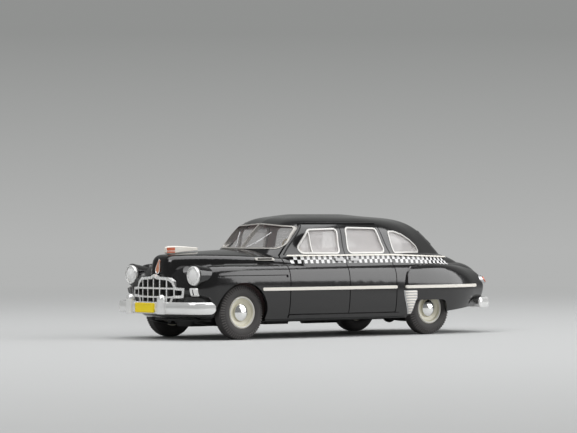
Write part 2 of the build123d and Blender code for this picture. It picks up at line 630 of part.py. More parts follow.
with BuildPart() as body_shell:
    add(outer.part)
    add(cavity.part, mode=Mode.SUBTRACT)
    for side in SIDES:
        with BuildSketch(Plane.XZ.offset(-side * ARCH_INNER_HALF)):
            with Locations((ahead(FRONT_ARCH_AHEAD), AXLE_Z)):
                Circle(FRONT_ARCH_RADIUS)
            with BuildLine():
                arch = FilletPolyline(*[(behind(back), z) for back, z in REAR_ARCH], radius=REAR_ARCH_RADII)
                Line(arch @ 1, arch @ 0)
            make_face()
        extrude(amount=-side * ARCH_REACH, mode=Mode.SUBTRACT)
        with BuildSketch(Plane.XZ.offset(-side * ARCH_INNER_HALF)):
            with Locations((REAR_AXLE_X, AXLE_Z)):
                Circle(WELL_RADIUS)
        extrude(amount=-side * (WELL_REACH - ARCH_INNER_HALF), mode=Mode.SUBTRACT)
    with BuildSketch(Plane.XZ):
        with BuildLine():
            Polyline(*[(behind(back), z) for back, z in TAIL_UNDERSIDE], close=True)
        make_face()
    extrude(amount=THROUGH, both=True, mode=Mode.SUBTRACT)
    add(both_sides(left_openings.part), mode=Mode.SUBTRACT)
    for opening in (end_prism(*screen), end_prism(*back_window), grille_opening.part):
        add(opening, mode=Mode.SUBTRACT)
    for side in SIDES:
        lamp_seat = Plane((ahead(POD_FRONT_AHEAD), side * LAMP_HALF, LAMP_Z), z_dir=(1, 0, 0))
        with BuildSketch(lamp_seat):
            Circle(LAMP_DIAMETER / 2 + CLEARANCE)
        extrude(amount=LAMP_SEAT_DEPTH, mode=Mode.SUBTRACT)
    for lines in (door_lines, swage_lines, boot_lines):
        add(lines, mode=Mode.SUBTRACT)
# The windows cut two loose crumbs from the screen pillars: only the shell itself is kept
write("body_shell", body_shell.solids().sort_by(SortBy.VOLUME)[-1])


# Windows: rings of plated frame in the openings, panes set inside the rings
def glazing(prism, outlines, frame_width, bar=None):
    """The frame rings of a set of openings, with a bar across the first one, and their panes."""
    with BuildPart() as rings:
        for outline in outlines:
            add(prism(*outline, margin=-STEP))
        for outline in outlines:
            add(prism(*outline, margin=-frame_width), mode=Mode.SUBTRACT)
        if bar is not None:
            with BuildPart(mode=Mode.PRIVATE) as bar_in_window:
                add(bar)
                add(prism(*outlines[0], margin=-frame_width), mode=Mode.INTERSECT)
            add(bar_in_window.part)
        add(cabin(-FRAME_PROUD), mode=Mode.INTERSECT)
        add(cabin(FRAME_DEPTH), mode=Mode.SUBTRACT)
    with BuildPart() as panes:
        for outline in outlines:
            add(prism(*outline, margin=-frame_width - STEP))
        if bar is not None:
            add(bar, mode=Mode.SUBTRACT)
        add(cabin(GLASS_RECESS), mode=Mode.INTERSECT)
        add(cabin(GLASS_RECESS + GLASS_THICKNESS), mode=Mode.SUBTRACT)
    return rings.part, panes.part


vent_bar = side_lines(([(ahead(-back), z) for back, z in VENT_BAR],), SCREEN_FRAME_WIDTH)
left_frames, left_panes = glazing(side_prism, side_windows, FRAME_WIDTH, vent_bar)
write_pair("window_frames", left_frames)
write_pair("side_windows", left_panes)

with BuildPart() as screen_bar:
    with BuildSketch(Plane.YZ.offset(screen_reach[0])):
        Rectangle(SCREEN_FRAME_WIDTH, 2 * THROUGH)
    extrude(amount=screen_reach[1] - screen_reach[0])

for name, outline, bar in (("windscreen", screen, screen_bar.part), ("rear_window", back_window, None)):
    frame, pane = glazing(end_prism, (outline,), SCREEN_FRAME_WIDTH, bar)
    write(f"{name}_frame", frame)
    write(name, pane)


# Grille: a lattice seen from the front, bent to an arc in plan, with a dark sheet behind it
def grille_face(margin=0.0):
    """Outline of the grille seen from the front, grown or shrunk by the margin."""
    with BuildSketch() as face:
        with BuildLine():
            half = Polyline(*GRILLE_OUTLINE)
            mirror(half, about=Plane.YZ)
        make_face()
        if margin:
            offset(amount=margin)
    return face.sketch


def bent_to_grille(front_sketch, front, back):
    """A front view pushed through the body and kept between two depths behind the grille's face."""
    with BuildPart() as bent:
        with BuildSketch(Plane.YZ.offset(ahead(GRILLE_AHEAD - GRILLE_CUT_BEHIND))):
            add(front_sketch)
        extrude(amount=GRILLE_CUT)
        with BuildSketch(mode=Mode.PRIVATE) as band:
            with Locations((ahead(GRILLE_AHEAD - GRILLE_RADIUS), 0)):
                Circle(GRILLE_RADIUS - front)
                Circle(GRILLE_RADIUS - back, mode=Mode.SUBTRACT)
        extrude(band.sketch, amount=THROUGH, mode=Mode.INTERSECT)
    return bent.part


with BuildSketch() as lattice:
    for low, high, last in GRILLE_ROWS:
        for number in range(-last, last + 1):
            with Locations((number * GRILLE_PITCH, (low + high) / 2)):
                Rectangle(GRILLE_BAR, high - low)
        with Locations((0, low)):
            Rectangle(2 * LAMP_HALF, GRILLE_BAR)
    add(grille_face(-GRILLE_FRAME / 2), mode=Mode.INTERSECT)
    with BuildSketch(mode=Mode.PRIVATE) as rim:
        add(grille_face())
        add(grille_face(-GRILLE_FRAME), mode=Mode.SUBTRACT)
    add(rim.sketch)
write("grille", bent_to_grille(lattice.sketch, 0, GRILLE_DEPTH))
write("grille_backing", bent_to_grille(grille_face(), 2 * GRILLE_DEPTH, 2 * GRILLE_DEPTH + GRILLE_SHEET))

# Bumpers: a round-faced bar swept round the corner, with brackets, and guards on the front one
for name, place, outward, path_points, low, bracket_z in (
    ("front_bumper", ahead, 1, FRONT_BUMPER, FRONT_BUMPER_Z, FRONT_BRACKET_Z),
    ("rear_bumper", behind, -1, REAR_BUMPER, REAR_BUMPER_Z, REAR_BRACKET_Z),
):
    middle_z = low + BUMPER_HEIGHT / 2
    tip_x, bar_x = place(path_points[0][0]), place(path_points[-1][0])
    past_x = bar_x + outward * BUMPER_HEIGHT
    with BuildPart() as bumper:
        with BuildLine() as bar:
            rounded_path(*[(place(out), half, middle_z) for out, half in path_points])
        with BuildSketch(Plane(bar.line @ 0, x_dir=(0, 0, 1), z_dir=bar.line % 0)):
            Ellipse(BUMPER_HEIGHT / 2, BUMPER_THICKNESS / 2)
        sweep()
        mirror(about=Plane.XZ)
        with BuildSketch(Plane.XZ):
            with Locations(((tip_x + past_x) / 2, middle_z)):
                RectangleRounded(abs(past_x - tip_x), BUMPER_HEIGHT + 2 * STEP, BUMPER_HEIGHT / 2)
        extrude(amount=THROUGH, both=True, mode=Mode.INTERSECT)
        bracket_x = bar_x - outward * BRACKET_LENGTH / 2
        with Locations(*[(bracket_x, side * BRACKET_HALF, bracket_z) for side in SIDES]):
            Box(BRACKET_LENGTH, BRACKET_WIDTH, BRACKET_HEIGHT)
        if place is ahead:
            with BuildSketch(Plane.XY.offset(low)):
                with Locations(*[(FRONT_X - GUARD_DEPTH / 2, side * GUARD_HALF) for side in SIDES]):
                    RectangleRounded(GUARD_DEPTH, GUARD_WIDTH, GUARD_EDGE)
            extrude(amount=GUARD_HEIGHT)
            fillet(bumper.edges().group_by(Axis.Z)[-1], GUARD_CROWN)
    write(name, clear_of(bumper.part, hull, wings))

with BuildPart() as front_plate:
    plate_x = ahead(FRONT_BUMPER_AHEAD) + (BUMPER_THICKNESS + NUMBER_PLATE_THICKNESS) / 2
    with Locations((plate_x, 0, FRONT_BUMPER_Z + BUMPER_HEIGHT / 2)):
        Box(NUMBER_PLATE_THICKNESS, NUMBER_PLATE_WIDTH, NUMBER_PLATE_HEIGHT)
    fillet(front_plate.edges().filter_by(Axis.X), NUMBER_PLATE_THICKNESS)
write("front_plate", front_plate.part)

# Lamps
lamp_radius, lamp_x = LAMP_DIAMETER / 2, ahead(POD_FRONT_AHEAD)
with BuildPart() as headlamp_rims:
    with BuildSketch(Plane.YZ.offset(lamp_x)):
        with Locations((LAMP_HALF, LAMP_Z), (-LAMP_HALF, LAMP_Z)):
            Circle(lamp_radius)
            Circle(lamp_radius - RIM_RING_WIDTH, mode=Mode.SUBTRACT)
    extrude(amount=RIM_RING_DEPTH)
    front_edges = headlamp_rims.edges().filter_by(GeomType.CIRCLE).group_by(Axis.X)[-1]
    fillet(front_edges.filter_by(lambda edge: edge.radius > lamp_radius - STEP), RIM_RING_WIDTH - 2 * STEP)
write("headlamp_rims", headlamp_rims.part)

with BuildPart() as headlamp_lenses:
    with Locations(*[Plane((lamp_x, side * LAMP_HALF, LAMP_Z), z_dir=(1, 0, 0)) for side in SIDES]):
        add(dome(lamp_radius - RIM_RING_WIDTH - STEP, RIM_RING_DEPTH / 2, LENS_DOME))
write("headlamp_lenses", headlamp_lenses.part)

parking_tool = end_prism(PARKING_LAMP_CORNER, PARKING_LAMP, (FRONT_AXLE_X, FRONT_X))
write("parking_lamps", both_sides(trimmed(parking_tool, hull, PARKING_LAMP_HEIGHT)))


def tail_rod(diameter):
    """A round bar through the left tail lamp's place."""
    with BuildPart() as bar:
        with BuildSketch(Plane.YZ.offset(behind(TAIL_LAMP_FROM_BEHIND))):
            with Locations((TAIL_LAMP_HALF, TAIL_LAMP_Z)):
                Circle(diameter / 2)
        extrude(amount=-TAIL_LAMP_REACH)
    return bar.part


with BuildPart() as tail_lamp:
    add(trimmed(tail_rod(TAIL_LAMP_DIAMETER), wings, TAIL_LAMP_PROUD))
    add(tail_rod(TAIL_LENS_DIAMETER + 2 * STEP), mode=Mode.SUBTRACT)
tail_lens = trimmed(tail_rod(TAIL_LENS_DIAMETER), wings, TAIL_LENS_PROUD)
write("tail_lamps", both_sides(clear_of(tail_lamp.part, hull)))
write("tail_lenses", both_sides(clear_of(tail_lens, hull)))

# Hood trim
with BuildPart() as hood_ornament:
    with BuildSketch(Plane.XZ):
        with BuildLine():
            FilletPolyline(*[(ahead(out), z) for out, z in ORNAMENT_SIDE], radius=ORNAMENT_EDGE, close=True)
        make_face()
    extrude(amount=ORNAMENT_WIDTH / 2, both=True)
    with BuildSketch(Plane.XY):
        with BuildLine():
            left = Polyline(*[(ahead(out), half) for out, half in ORNAMENT_PLAN])
            right = mirror(left, about=Plane.XZ)
            Line(left @ 0, right @ 0)
            Line(left @ 1, right @ 1)
        make_face()
    extrude(amount=THROUGH, mode=Mode.INTERSECT)
    with BuildSketch(Plane.XZ):
        with BuildLine():
            Polyline(*[(ahead(out), z) for out, z in ORNAMENT_FIN], close=True)
        make_face()
    extrude(amount=ORNAMENT_FIN_WIDTH / 2, both=True)
write("hood_ornament", clear_of(hood_ornament.part, hood))

with BuildPart() as emblem_tool:
    with BuildSketch(Plane.YZ.offset(ahead(EMBLEM_FROM_AHEAD))):
        with Locations((0, EMBLEM_BOTTOM + EMBLEM_RADIUS)):
            Circle(EMBLEM_RADIUS)
        with Locations((0, EMBLEM_TOP - EMBLEM_POINT)):
            Circle(EMBLEM_POINT)
        make_hull()
    extrude(amount=EMBLEM_REACH)
write("hood_emblem", trimmed(emblem_tool.part, hood, EMBLEM_HEIGHT))

vent = trimmed(side_slot(ahead(-VENT_BEHIND), VENT_Z, VENT_LENGTH, VENT_HEIGHT), hood)
write("hood_side_vents", both_sides(clear_of(vent, cabin, shoulders, hull)))

# Side trim
strip_front, strip_rear = ahead(-STRIP_FRONT_BEHIND), door_rear
strip_wing, strip_tail = behind(-STRIP_WING_AHEAD), behind(STRIP_TAIL_BEHIND)
door_slot = side_slot((strip_front + strip_rear) / 2, STRIP_Z, strip_front - strip_rear, STRIP_HEIGHT)
wing_slot = side_slot((strip_wing + strip_tail) / 2, STRIP_Z, strip_wing - strip_tail, STRIP_HEIGHT)
with BuildPart() as left_strips:
    add(trimmed(door_slot, hull))
    add(trimmed(wing_slot, wings))
write_pair("side_strips", left_strips.part)

BELT_LINE = ((door_front, BELT_Z), (door_rear, BELT_Z), (behind(BELT_TAIL_BEHIND), BELT_Z - BELT_TAIL_DROP))
left_belt = trimmed(side_lines((BELT_LINE,), BELT_HEIGHT), shoulders)
write_pair("belt_moulding", clear_of(left_belt, cabin, hood))

shield_tool = side_prism(SHIELD_CORNER, [(behind(back), z) for back, z in SHIELD])
write_pair("gravel_shield", trimmed(clear_of(shield_tool, hull), wings))

with BuildPart() as handle_tool:
    for x in (door_middle + HANDLE_GAP, door_middle - HANDLE_GAP):
        add(side_slot(x, HANDLE_Z, HANDLE_LENGTH, HANDLE_HEIGHT))
write("door_handles", both_sides(trimmed(handle_tool.part, shoulders, HANDLE_PROUD)))

with BuildPart() as trunk_tool:
    with BuildSketch(Plane.YZ.offset(behind(TRUNK_HANDLE_FROM_BEHIND))):
        with Locations((0, TRUNK_HANDLE_Z)):
            SlotOverall(TRUNK_HANDLE_LENGTH, HANDLE_HEIGHT)
    extrude(amount=-TRUNK_HANDLE_REACH)
write("trunk_handle", trimmed(trunk_tool.part, hull, HANDLE_PROUD))

# Cabin: a tub with a shelf behind it, two bench seats, the dashboard and the steering wheel
tub_front, tub_rear = ahead(-TUB_FRONT_BEHIND), behind(-TUB_REAR_AHEAD)
shelf_rear = behind(SHELF_REAR_BEHIND)
floor_z = PLATE_TOP + TUB_FLOOR
with BuildPart() as interior_tub:
    with BuildSketch(Plane.XY.offset(PLATE_TOP)):
        with Locations(((tub_front + tub_rear) / 2, 0)):
            Rectangle(tub_front - tub_rear, 2 * TUB_HALF)
    extrude(amount=TUB_TOP - PLATE_TOP)
    fillet(interior_tub.edges().filter_by(Axis.Z), TUB_CORNER)
    offset(amount=-TUB_WALL, openings=interior_tub.faces().sort_by(Axis.Z)[-1])
    with BuildSketch(Plane.XZ):
        with BuildLine():
            Polyline(
                (tub_rear, TUB_TOP - SHELF_LAP),
                (tub_rear + TUB_WALL, TUB_TOP - SHELF_LAP),
                (tub_rear + TUB_WALL, SHELF_Z),
                (shelf_rear, SHELF_Z),
                (shelf_rear, SHELF_Z - TUB_WALL),
                (tub_rear, SHELF_Z - TUB_WALL),
                close=True,
            )
        make_face()
    extrude(amount=SHELF_HALF, both=True)
write("interior_tub", interior_tub.part)

for name, front_x, half in (
    ("front_seat", ahead(-FRONT_SEAT_BEHIND), SEAT_HALF),
    ("rear_seat", tub_rear + TUB_WALL + STEP - SEAT_SIDE[-1][0], REAR_SEAT_HALF),
):
    with BuildPart() as seat:
        with BuildSketch(Plane.XZ):
            with BuildLine():
                seat_points = [(front_x + x, floor_z + z) for x, z in SEAT_SIDE]
                FilletPolyline(*seat_points, radius=SEAT_ROLL, close=True)
            make_face()
        extrude(amount=half, both=True)
    write(name, seat.part)

with BuildPart() as dashboard:
    with BuildSketch(Plane.XZ):
        with BuildLine():
            dash_points = [(ahead(-DASH_BEHIND) + x, DASH_Z + z) for x, z in DASH_SIDE]
            FilletPolyline(*dash_points, radius=DASH_EDGE, close=True)
        make_face()
    extrude(amount=DASH_HALF, both=True)
write("dashboard", dashboard.part)

wheel_tilt = radians(WHEEL_TILT)
wheel_plane = Plane(
    (ahead(-WHEEL_BEHIND), WHEEL_HALF, WHEEL_Z), x_dir=(0, 1, 0), z_dir=(-cos(wheel_tilt), 0, sin(wheel_tilt))
)
with BuildPart() as steering_wheel:
    with Locations(wheel_plane):
        Torus(WHEEL_RADIUS, WHEEL_GRIP)
        Box(2 * WHEEL_RADIUS, SPOKE_WIDTH, SPOKE_WIDTH / 2)
        Cylinder(HUB_DIAMETER / 2, SPOKE_WIDTH)
        Cylinder(COLUMN_DIAMETER / 2, COLUMN_LENGTH, align=(Align.CENTER, Align.CENTER, Align.MAX))
    add(dashboard.part, mode=Mode.SUBTRACT)
write("steering_wheel", steering_wheel.part)

# Baseplate: a flat plate notched for the wheels, with the axle bearings, the sloping tail floor,
# the screw bosses for a display plinth and the moulded running gear below
axles = (FRONT_AXLE_X, REAR_AXLE_X)
boss_places = (ahead(-FRONT_BOSS_BEHIND), ahead(-FRONT_BOSS_BEHIND) - PLINTH_SCREW_SPACING)
sump_front, gearbox_front = ahead(SUMP_AHEAD), ahead(-GEARBOX_BEHIND)
rail_rear, pipe_rear = behind(TAIL_FLOOR[0][0]), behind(-PIPE_REAR_AHEAD)
bearing_top = AXLE_Z + AXLE_DIAMETER / 2 + AXLE_PLAY + BEARING_ROOF
with BuildPart() as baseplate:
    with BuildSketch(Plane.XY.offset(PLATE_Z)):
        with BuildLine():
            left = rounded_path(*hull_points(HULL[0], WALL + CLEARANCE))
            mirror(left, about=Plane.XZ)
        make_face()
        with Locations((rail_rear, 0)):
            Rectangle(THROUGH, THROUGH, align=(Align.MAX, Align.CENTER), mode=Mode.SUBTRACT)
        with Locations(*[(x, WELL_INNER_HALF) for x in axles]):
            Rectangle(WELL_LENGTH, THROUGH, align=(Align.CENTER, Align.MIN), mode=Mode.SUBTRACT)
        with Locations(*[(x, -WELL_INNER_HALF) for x in axles]):
            Rectangle(WELL_LENGTH, THROUGH, align=(Align.CENTER, Align.MAX), mode=Mode.SUBTRACT)
    extrude(amount=PLATE_THICKNESS)
    with BuildSketch(Plane.XZ):
        with BuildLine():
            Polyline(*[(behind(back), z) for back, z in TAIL_FLOOR], close=True)
        make_face()
    extrude(amount=TAIL_FLOOR_HALF, both=True)
    # Bearings and bosses above the plate
    bearing_z = (PLATE_TOP + bearing_top) / 2
    with Locations(*[(x, side * BEARING_HALF, bearing_z) for x in axles for side in SIDES]):
        Box(BEARING_LENGTH, BEARING_WIDTH, bearing_top - PLATE_TOP)
    with Locations(*[(x, 0, PLATE_Z + BOSS_HEIGHT / 2) for x in boss_places]):
        Cylinder(BOSS_DIAMETER / 2, BOSS_HEIGHT)
    # Running gear below the plate
    with BuildSketch(Plane.XY.offset(PLATE_Z)):
        with Locations((sump_front - SUMP_LENGTH / 2, 0)):
            RectangleRounded(SUMP_LENGTH, SUMP_WIDTH, SUMP_CORNER)
        with Locations((gearbox_front - GEARBOX_LENGTH / 2, 0)):
            RectangleRounded(GEARBOX_LENGTH, GEARBOX_WIDTH, SUMP_CORNER)
    extrude(amount=-SUMP_DEPTH, taper=SUMP_TAPER)
    rail_x, rail_z = (sump_front + rail_rear) / 2, PLATE_Z - RAIL_HEIGHT / 2
    with Locations(*[(rail_x, side * RAIL_HALF, rail_z) for side in SIDES]):
        Box(sump_front - rail_rear, RAIL_WIDTH, RAIL_HEIGHT)
    with Locations(((gearbox_front + REAR_AXLE_X) / 2, 0, PLATE_Z)):
        Cylinder(SHAFT_DIAMETER / 2, gearbox_front - REAR_AXLE_X, rotation=(0, 90, 0))
    with Locations((REAR_AXLE_X, 0, PLATE_Z)):
        Cylinder(AXLE_TUBE_DIAMETER / 2, AXLE_TUBE_LENGTH, rotation=(90, 0, 0))
        Sphere(DIFF_DIAMETER / 2)
    with Locations(((sump_front + pipe_rear) / 2, -PIPE_HALF, PLATE_Z - PIPE_DROP)):
        Cylinder(PIPE_DIAMETER / 2, sump_front - pipe_rear, rotation=(0, 90, 0))
    with Locations((behind(-MUFFLER_AHEAD), -PIPE_HALF, PLATE_Z - MUFFLER_DIAMETER / 4)):
        Cylinder(MUFFLER_DIAMETER / 2, MUFFLER_LENGTH, rotation=(0, 90, 0))
    spring_end, spring_low = SPRING_SPAN / 2, PLATE_Z - SPRING_DROP
    for x in axles:
        for side in SIDES:
            with BuildSketch(Plane.XZ.offset(-side * SPRING_HALF + SPRING_WIDTH / 2)):
                with BuildLine():
                    lower = ThreePointArc(
                        (x - spring_end, PLATE_Z), (x, spring_low), (x + spring_end, PLATE_Z)
                    )
                    upper = ThreePointArc(
                        (x + spring_end - SPRING_EYE, PLATE_Z),
                        (x, spring_low + SPRING_LEAF),
                        (x - spring_end + SPRING_EYE, PLATE_Z),
                    )
                    Line(lower @ 1, upper @ 0)
                    Line(upper @ 1, lower @ 0)
                make_face()
            extrude(amount=-SPRING_WIDTH)
    # Bores for the axle rods and the plinth screws
    with Locations(*[(x, 0, AXLE_Z) for x in axles]):
        Cylinder(AXLE_DIAMETER / 2 + AXLE_PLAY, 4 * BEARING_HALF, rotation=(90, 0, 0), mode=Mode.SUBTRACT)
    with Locations(*[(x, 0, PLATE_Z + PLINTH_SCREW_DEPTH / 2) for x in boss_places]):
        Cylinder(PLINTH_SCREW_DIAMETER / 2, PLINTH_SCREW_DEPTH, mode=Mode.SUBTRACT)
write("baseplate", baseplate.part)

# Wheels: a steel rod through each axle, with a tyre, a dished disc and a domed cap at both ends
rim_radius, shoulder_radius = RIM_DIAMETER / 2, AXLE_Z - SHOULDER_DROP
bead, swell, tread = BEAD_WIDTH / 2, TYRE_WIDTH / 2, TREAD_WIDTH / 2
wall_radius = (rim_radius + shoulder_radius) / 2
with BuildPart() as tyre:
    with BuildSketch(Plane.XZ):
        with BuildLine():
            Polyline(
                (shoulder_radius, tread),
                (AXLE_Z, tread - SHOULDER_DROP),
                (AXLE_Z, SHOULDER_DROP - tread),
                (shoulder_radius, -tread),
            )
            ThreePointArc((shoulder_radius, -tread), (wall_radius, -swell), (rim_radius, -bead))
            Line((rim_radius, -bead), (rim_radius, bead))
            ThreePointArc((rim_radius, bead), (wall_radius, swell), (shoulder_radius, tread))
        make_face()
    revolve(axis=Axis.Z)

with BuildPart() as disc:
    with BuildSketch(Plane.XZ):
        with BuildLine():
            Polyline(*[(share * (rim_radius - STEP), out) for out, share in DISC_PROFILE], close=True)
        make_face()
    revolve(axis=Axis.Z)
    Cylinder(AXLE_DIAMETER / 2 + STEP, 2 * TYRE_WIDTH, mode=Mode.SUBTRACT)

cap = dome(CAP_DIAMETER / 2, CAP_RIM, CAP_DOME)
cap_out = DISC_PROFILE[-1][0]
for name, x, track in (("front", FRONT_AXLE_X, FRONT_TRACK), ("rear", REAR_AXLE_X, REAR_TRACK)):
    with BuildPart() as rod:
        with Locations((x, 0, AXLE_Z)):
            Cylinder(AXLE_DIAMETER / 2, track + 2 * (cap_out - STEP), rotation=(90, 0, 0))
    write(f"{name}_axle_rod", rod.part)
    for side_name, side in (("left", 1), ("right", -1)):
        wheel = Plane((x, side * track / 2, AXLE_Z), x_dir=(1, 0, 0), z_dir=(0, side, 0))
        write(f"{name}_tyre_{side_name}", tyre.part.moved(wheel.location))
        write(f"{name}_disc_{side_name}", disc.part.moved(wheel.location))
        write(f"{name}_cap_{side_name}", cap.moved(wheel.offset(cap_out).location))
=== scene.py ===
"""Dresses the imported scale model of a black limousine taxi: paint, plating, glass, the chequered waist band,
ribs, seals, lamps, trim, cabin and a plain studio stage. Metres, in the frame of the part."""

from math import cos, pi, radians, sin

import bmesh
import bpy
from mathutils import Matrix, Vector


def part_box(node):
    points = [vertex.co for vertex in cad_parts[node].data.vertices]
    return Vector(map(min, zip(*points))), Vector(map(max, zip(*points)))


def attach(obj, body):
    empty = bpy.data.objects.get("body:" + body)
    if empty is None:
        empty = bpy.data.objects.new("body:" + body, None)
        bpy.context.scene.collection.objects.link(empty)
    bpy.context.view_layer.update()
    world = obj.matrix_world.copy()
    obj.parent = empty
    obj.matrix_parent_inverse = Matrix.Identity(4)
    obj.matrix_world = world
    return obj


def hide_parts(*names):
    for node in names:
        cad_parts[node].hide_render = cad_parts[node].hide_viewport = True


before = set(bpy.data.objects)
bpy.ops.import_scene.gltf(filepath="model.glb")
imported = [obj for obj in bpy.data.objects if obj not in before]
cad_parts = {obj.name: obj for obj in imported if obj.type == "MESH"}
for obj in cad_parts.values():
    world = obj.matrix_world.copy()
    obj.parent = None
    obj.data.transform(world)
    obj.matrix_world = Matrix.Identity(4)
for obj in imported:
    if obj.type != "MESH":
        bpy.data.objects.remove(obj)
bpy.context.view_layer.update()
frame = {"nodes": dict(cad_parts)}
NODES = frame["nodes"]
MM = 0.001

bl_info = {
    "name": "Limousine taxi model",
    "version": (1, 0, 0),
    "blender": (4, 5, 0),
    "location": "View3D > Sidebar > Taxi Model",
    "description": "Finishes and small pieces of a collector's limousine taxi model",
    "category": "Object",
}

SIDES = (("left", 1), ("right", -1))
ENDS = ("front", "rear")

# Rays start this far beside the middle plane or ahead of the middle
BESIDE, AHEAD = 30 * MM, 80 * MM
BACKWARD, DOWNWARD = Vector((-1, 0, 0)), Vector((0, 0, -1))

# Tops of the doors seen from the side, as places ahead of the middle and heights, in millimetres
DOOR_SEALS = (
    ((23.4, 25.4), (14.8, 34.4), (14.2, 34.8), (-13.6, 34.8), (-17.3, 25.4)),
    ((1.6, 34.4), (1.6, 25.4)),
)

# The spear from its tip backwards: place behind the tip, half width, underside and top below its
# highest point, in millimetres
SPEAR_SECTIONS = (
    (0.0, 0.34, 1.90, 0.60), (0.4, 0.62, 2.30, 0.25), (1.4, 0.80, 2.45, 0.02), (3.9, 0.85, 2.20, 0.0),
    (7.5, 0.68, 1.80, 0.20), (10.8, 0.50, 1.52, 0.45), (12.0, 0.42, 1.42, 0.52), (12.2, 0.30, 1.30, 0.62),
)
# One coloured insert of the spear: places behind the tip and half widths
INSERT_PLAN = ((0.3, 0.2), (0.3, 0.60), (0.5, 0.70), (1.4, 0.87), (3.1, 0.89), (3.1, 0.3))


def colour_property(label, words, default):
    """A colour that a user may change."""
    return bpy.props.FloatVectorProperty(
        name=label, description=words, subtype="COLOR", size=3, min=0.0, max=1.0, default=default
    )


def length_property(label, words, millimetres):
    """A length that a user may change, given in millimetres and kept in metres."""
    return bpy.props.FloatProperty(
        name=label, description=words, unit="LENGTH", precision=5, min=0.0, default=millimetres * MM
    )


def count_property(label, words, default):
    """A number of repeats that a user may change."""
    return bpy.props.IntProperty(name=label, description=words, min=1, default=default)


def power_property(label, words, watts):
    """The power of a light that a user may change."""
    return bpy.props.FloatProperty(name=label, description=words, unit="POWER", default=watts)


class TaxiColours(bpy.types.PropertyGroup):
    """Colours of the finishes."""

    body: colour_property("Body", "Black enamel of the cast body", (0.0042, 0.0038, 0.0040))
    underside: colour_property("Underside", "Black plastic of the baseplate", (0.010, 0.010, 0.010))
    plating: colour_property("Plating", "Bright plating of the trim", (0.86, 0.86, 0.85))
    frame: colour_property("Window frames", "Silver paint of the window frames", (0.58, 0.57, 0.55))
    strip: colour_property("Strip", "Pale side strips and belt line", (0.78, 0.75, 0.69))
    chequer: colour_property("Chequers", "White squares of the waist band", (0.80, 0.80, 0.80))
    disc: colour_property("Wheel discs", "Cream wheel enamel", (0.60, 0.57, 0.45))
    tyre: colour_property("Tyres", "Dark rubber", (0.042, 0.039, 0.038))
    seat: colour_property("Seats", "Mauve cabin plastic", (0.46, 0.33, 0.32))
    lining: colour_property("Lining", "Mauve lining of the cabin", (0.44, 0.32, 0.31))
    # The milky white over the clear panes is a painted reflection of the softboxes.
    pane_reflection: colour_property("Panes", "Milky clear plastic of the side windows", (0.93, 0.90, 0.89))
    ivory: colour_property("Steering wheel", "Ivory plastic", (0.75, 0.66, 0.46))
    plate: colour_property("Number plate", "Yellow of the blank plate", (0.90, 0.70, 0.010))
    badge: colour_property("Badges", "Red of the ornament, the emblem and the tail lamps", (0.58, 0.13, 0.06))
    floor: colour_property("Floor", "Pale studio floor", (0.47, 0.475, 0.475))
    near: colour_property("Backdrop foot", "Grey of the backdrop behind the model", (0.45, 0.455, 0.45))
    far: colour_property("Backdrop", "Grey of the backdrop above the floor", (0.28, 0.285, 0.28))


class TaxiTrim(bpy.types.PropertyGroup):
    """Sizes of the small repeated trim."""

    square: length_property("Chequer", "Side of one chequer square", 1.08)
    columns: count_property("Columns", "Chequer columns along the side", 61)
    rows: count_property("Rows", "Chequer rows", 2)
    band_front: length_property("Band front", "Front end of the band ahead of the middle", 22.3)
    band_low: length_property("Band height", "Lower edge of the band above the ground", 22.62)
    bend_behind: length_property("Band bend", "Place behind the middle where the band turns down", 17.4)
    band_fall: bpy.props.FloatProperty(
        name="Band fall", description="Fall of the tail part per length", default=0.0325
    )
    film: length_property("Print film", "Thickness of the printed squares", 0.04)
    tyre_ribs: count_property("Tyre ribs", "Ribs round each tyre shoulder", 60)
    shield_ribs: count_property("Shield ribs", "Ribs on each gravel shield", 9)
    seat_rolls: count_property("Seat rolls", "Moulded rolls on each seat face", 11)
    flutes: count_property("Lens flutes", "Upright flutes across a headlamp lens", 9)


class TaxiStage(bpy.types.PropertyGroup):
    """Camera and lights."""

    eye: bpy.props.FloatVectorProperty(
        name="Camera", description="Camera place", subtype="TRANSLATION", default=(0.6383, 0.7731, 0.0371)
    )
    gaze: bpy.props.FloatVectorProperty(
        name="Direction", description="Way the camera looks", subtype="DIRECTION",
        default=(-0.6318, -0.7751, -0.0003),
    )
    lens: bpy.props.FloatProperty(name="Lens", description="Focal length", unit="CAMERA", default=201.1)
    key: power_property("Key", "Power of the overhead softbox", 12.0)
    fill: power_property("Fill", "Power of the front softbox", 3.2)
    side: power_property("Side", "Power of the rear side softbox", 11.0)
    ambient: bpy.props.FloatProperty(
        name="Ambient", description="Strength of the even studio light", default=0.20
    )


# Node trees


def node(tree, kind, inputs=None, **settings):
    """Adds a node; an input takes a value, a socket, or a node whose first output is linked."""
    made = tree.nodes.new(kind)
    for key, value in settings.items():
        setattr(made, key, value)
    for key, value in (inputs or {}).items():
        if isinstance(value, bpy.types.Node):
            value = value.outputs[0]
        if isinstance(value, bpy.types.NodeSocket):
            tree.links.new(value, made.inputs[key])
        else:
            made.inputs[key].default_value = value
    return made


def calc(tree, operation, first, second=0.0):
    """The result of a math node on one or two values."""
    return node(tree, "ShaderNodeMath", {0: first, 1: second}, operation=operation).outputs[0]


def vector_calc(tree, operation, first, second=None):
    """A vector math node; the second input is a vector, or the factor of a scale."""
    inputs = {0: first}
    if second is not None:
        inputs["Scale" if operation == "SCALE" else 1] = second
    return node(tree, "ShaderNodeVectorMath", inputs, operation=operation)


def vector(tree, x=0.0, y=0.0, z=0.0):
    """A vector from its three parts."""
    return node(tree, "ShaderNodeCombineXYZ", {0: x, 1: y, 2: z})


def parts(tree, whole):
    """The three parts of a vector."""
    return node(tree, "ShaderNodeSeparateXYZ", {0: whole}).outputs


def mix_colours(tree, share, first, second):
    """One colour going over into another."""
    return node(tree, "ShaderNodeMix", {0: share, 6: first, 7: second}, data_type="RGBA").outputs[2]


# Finishes


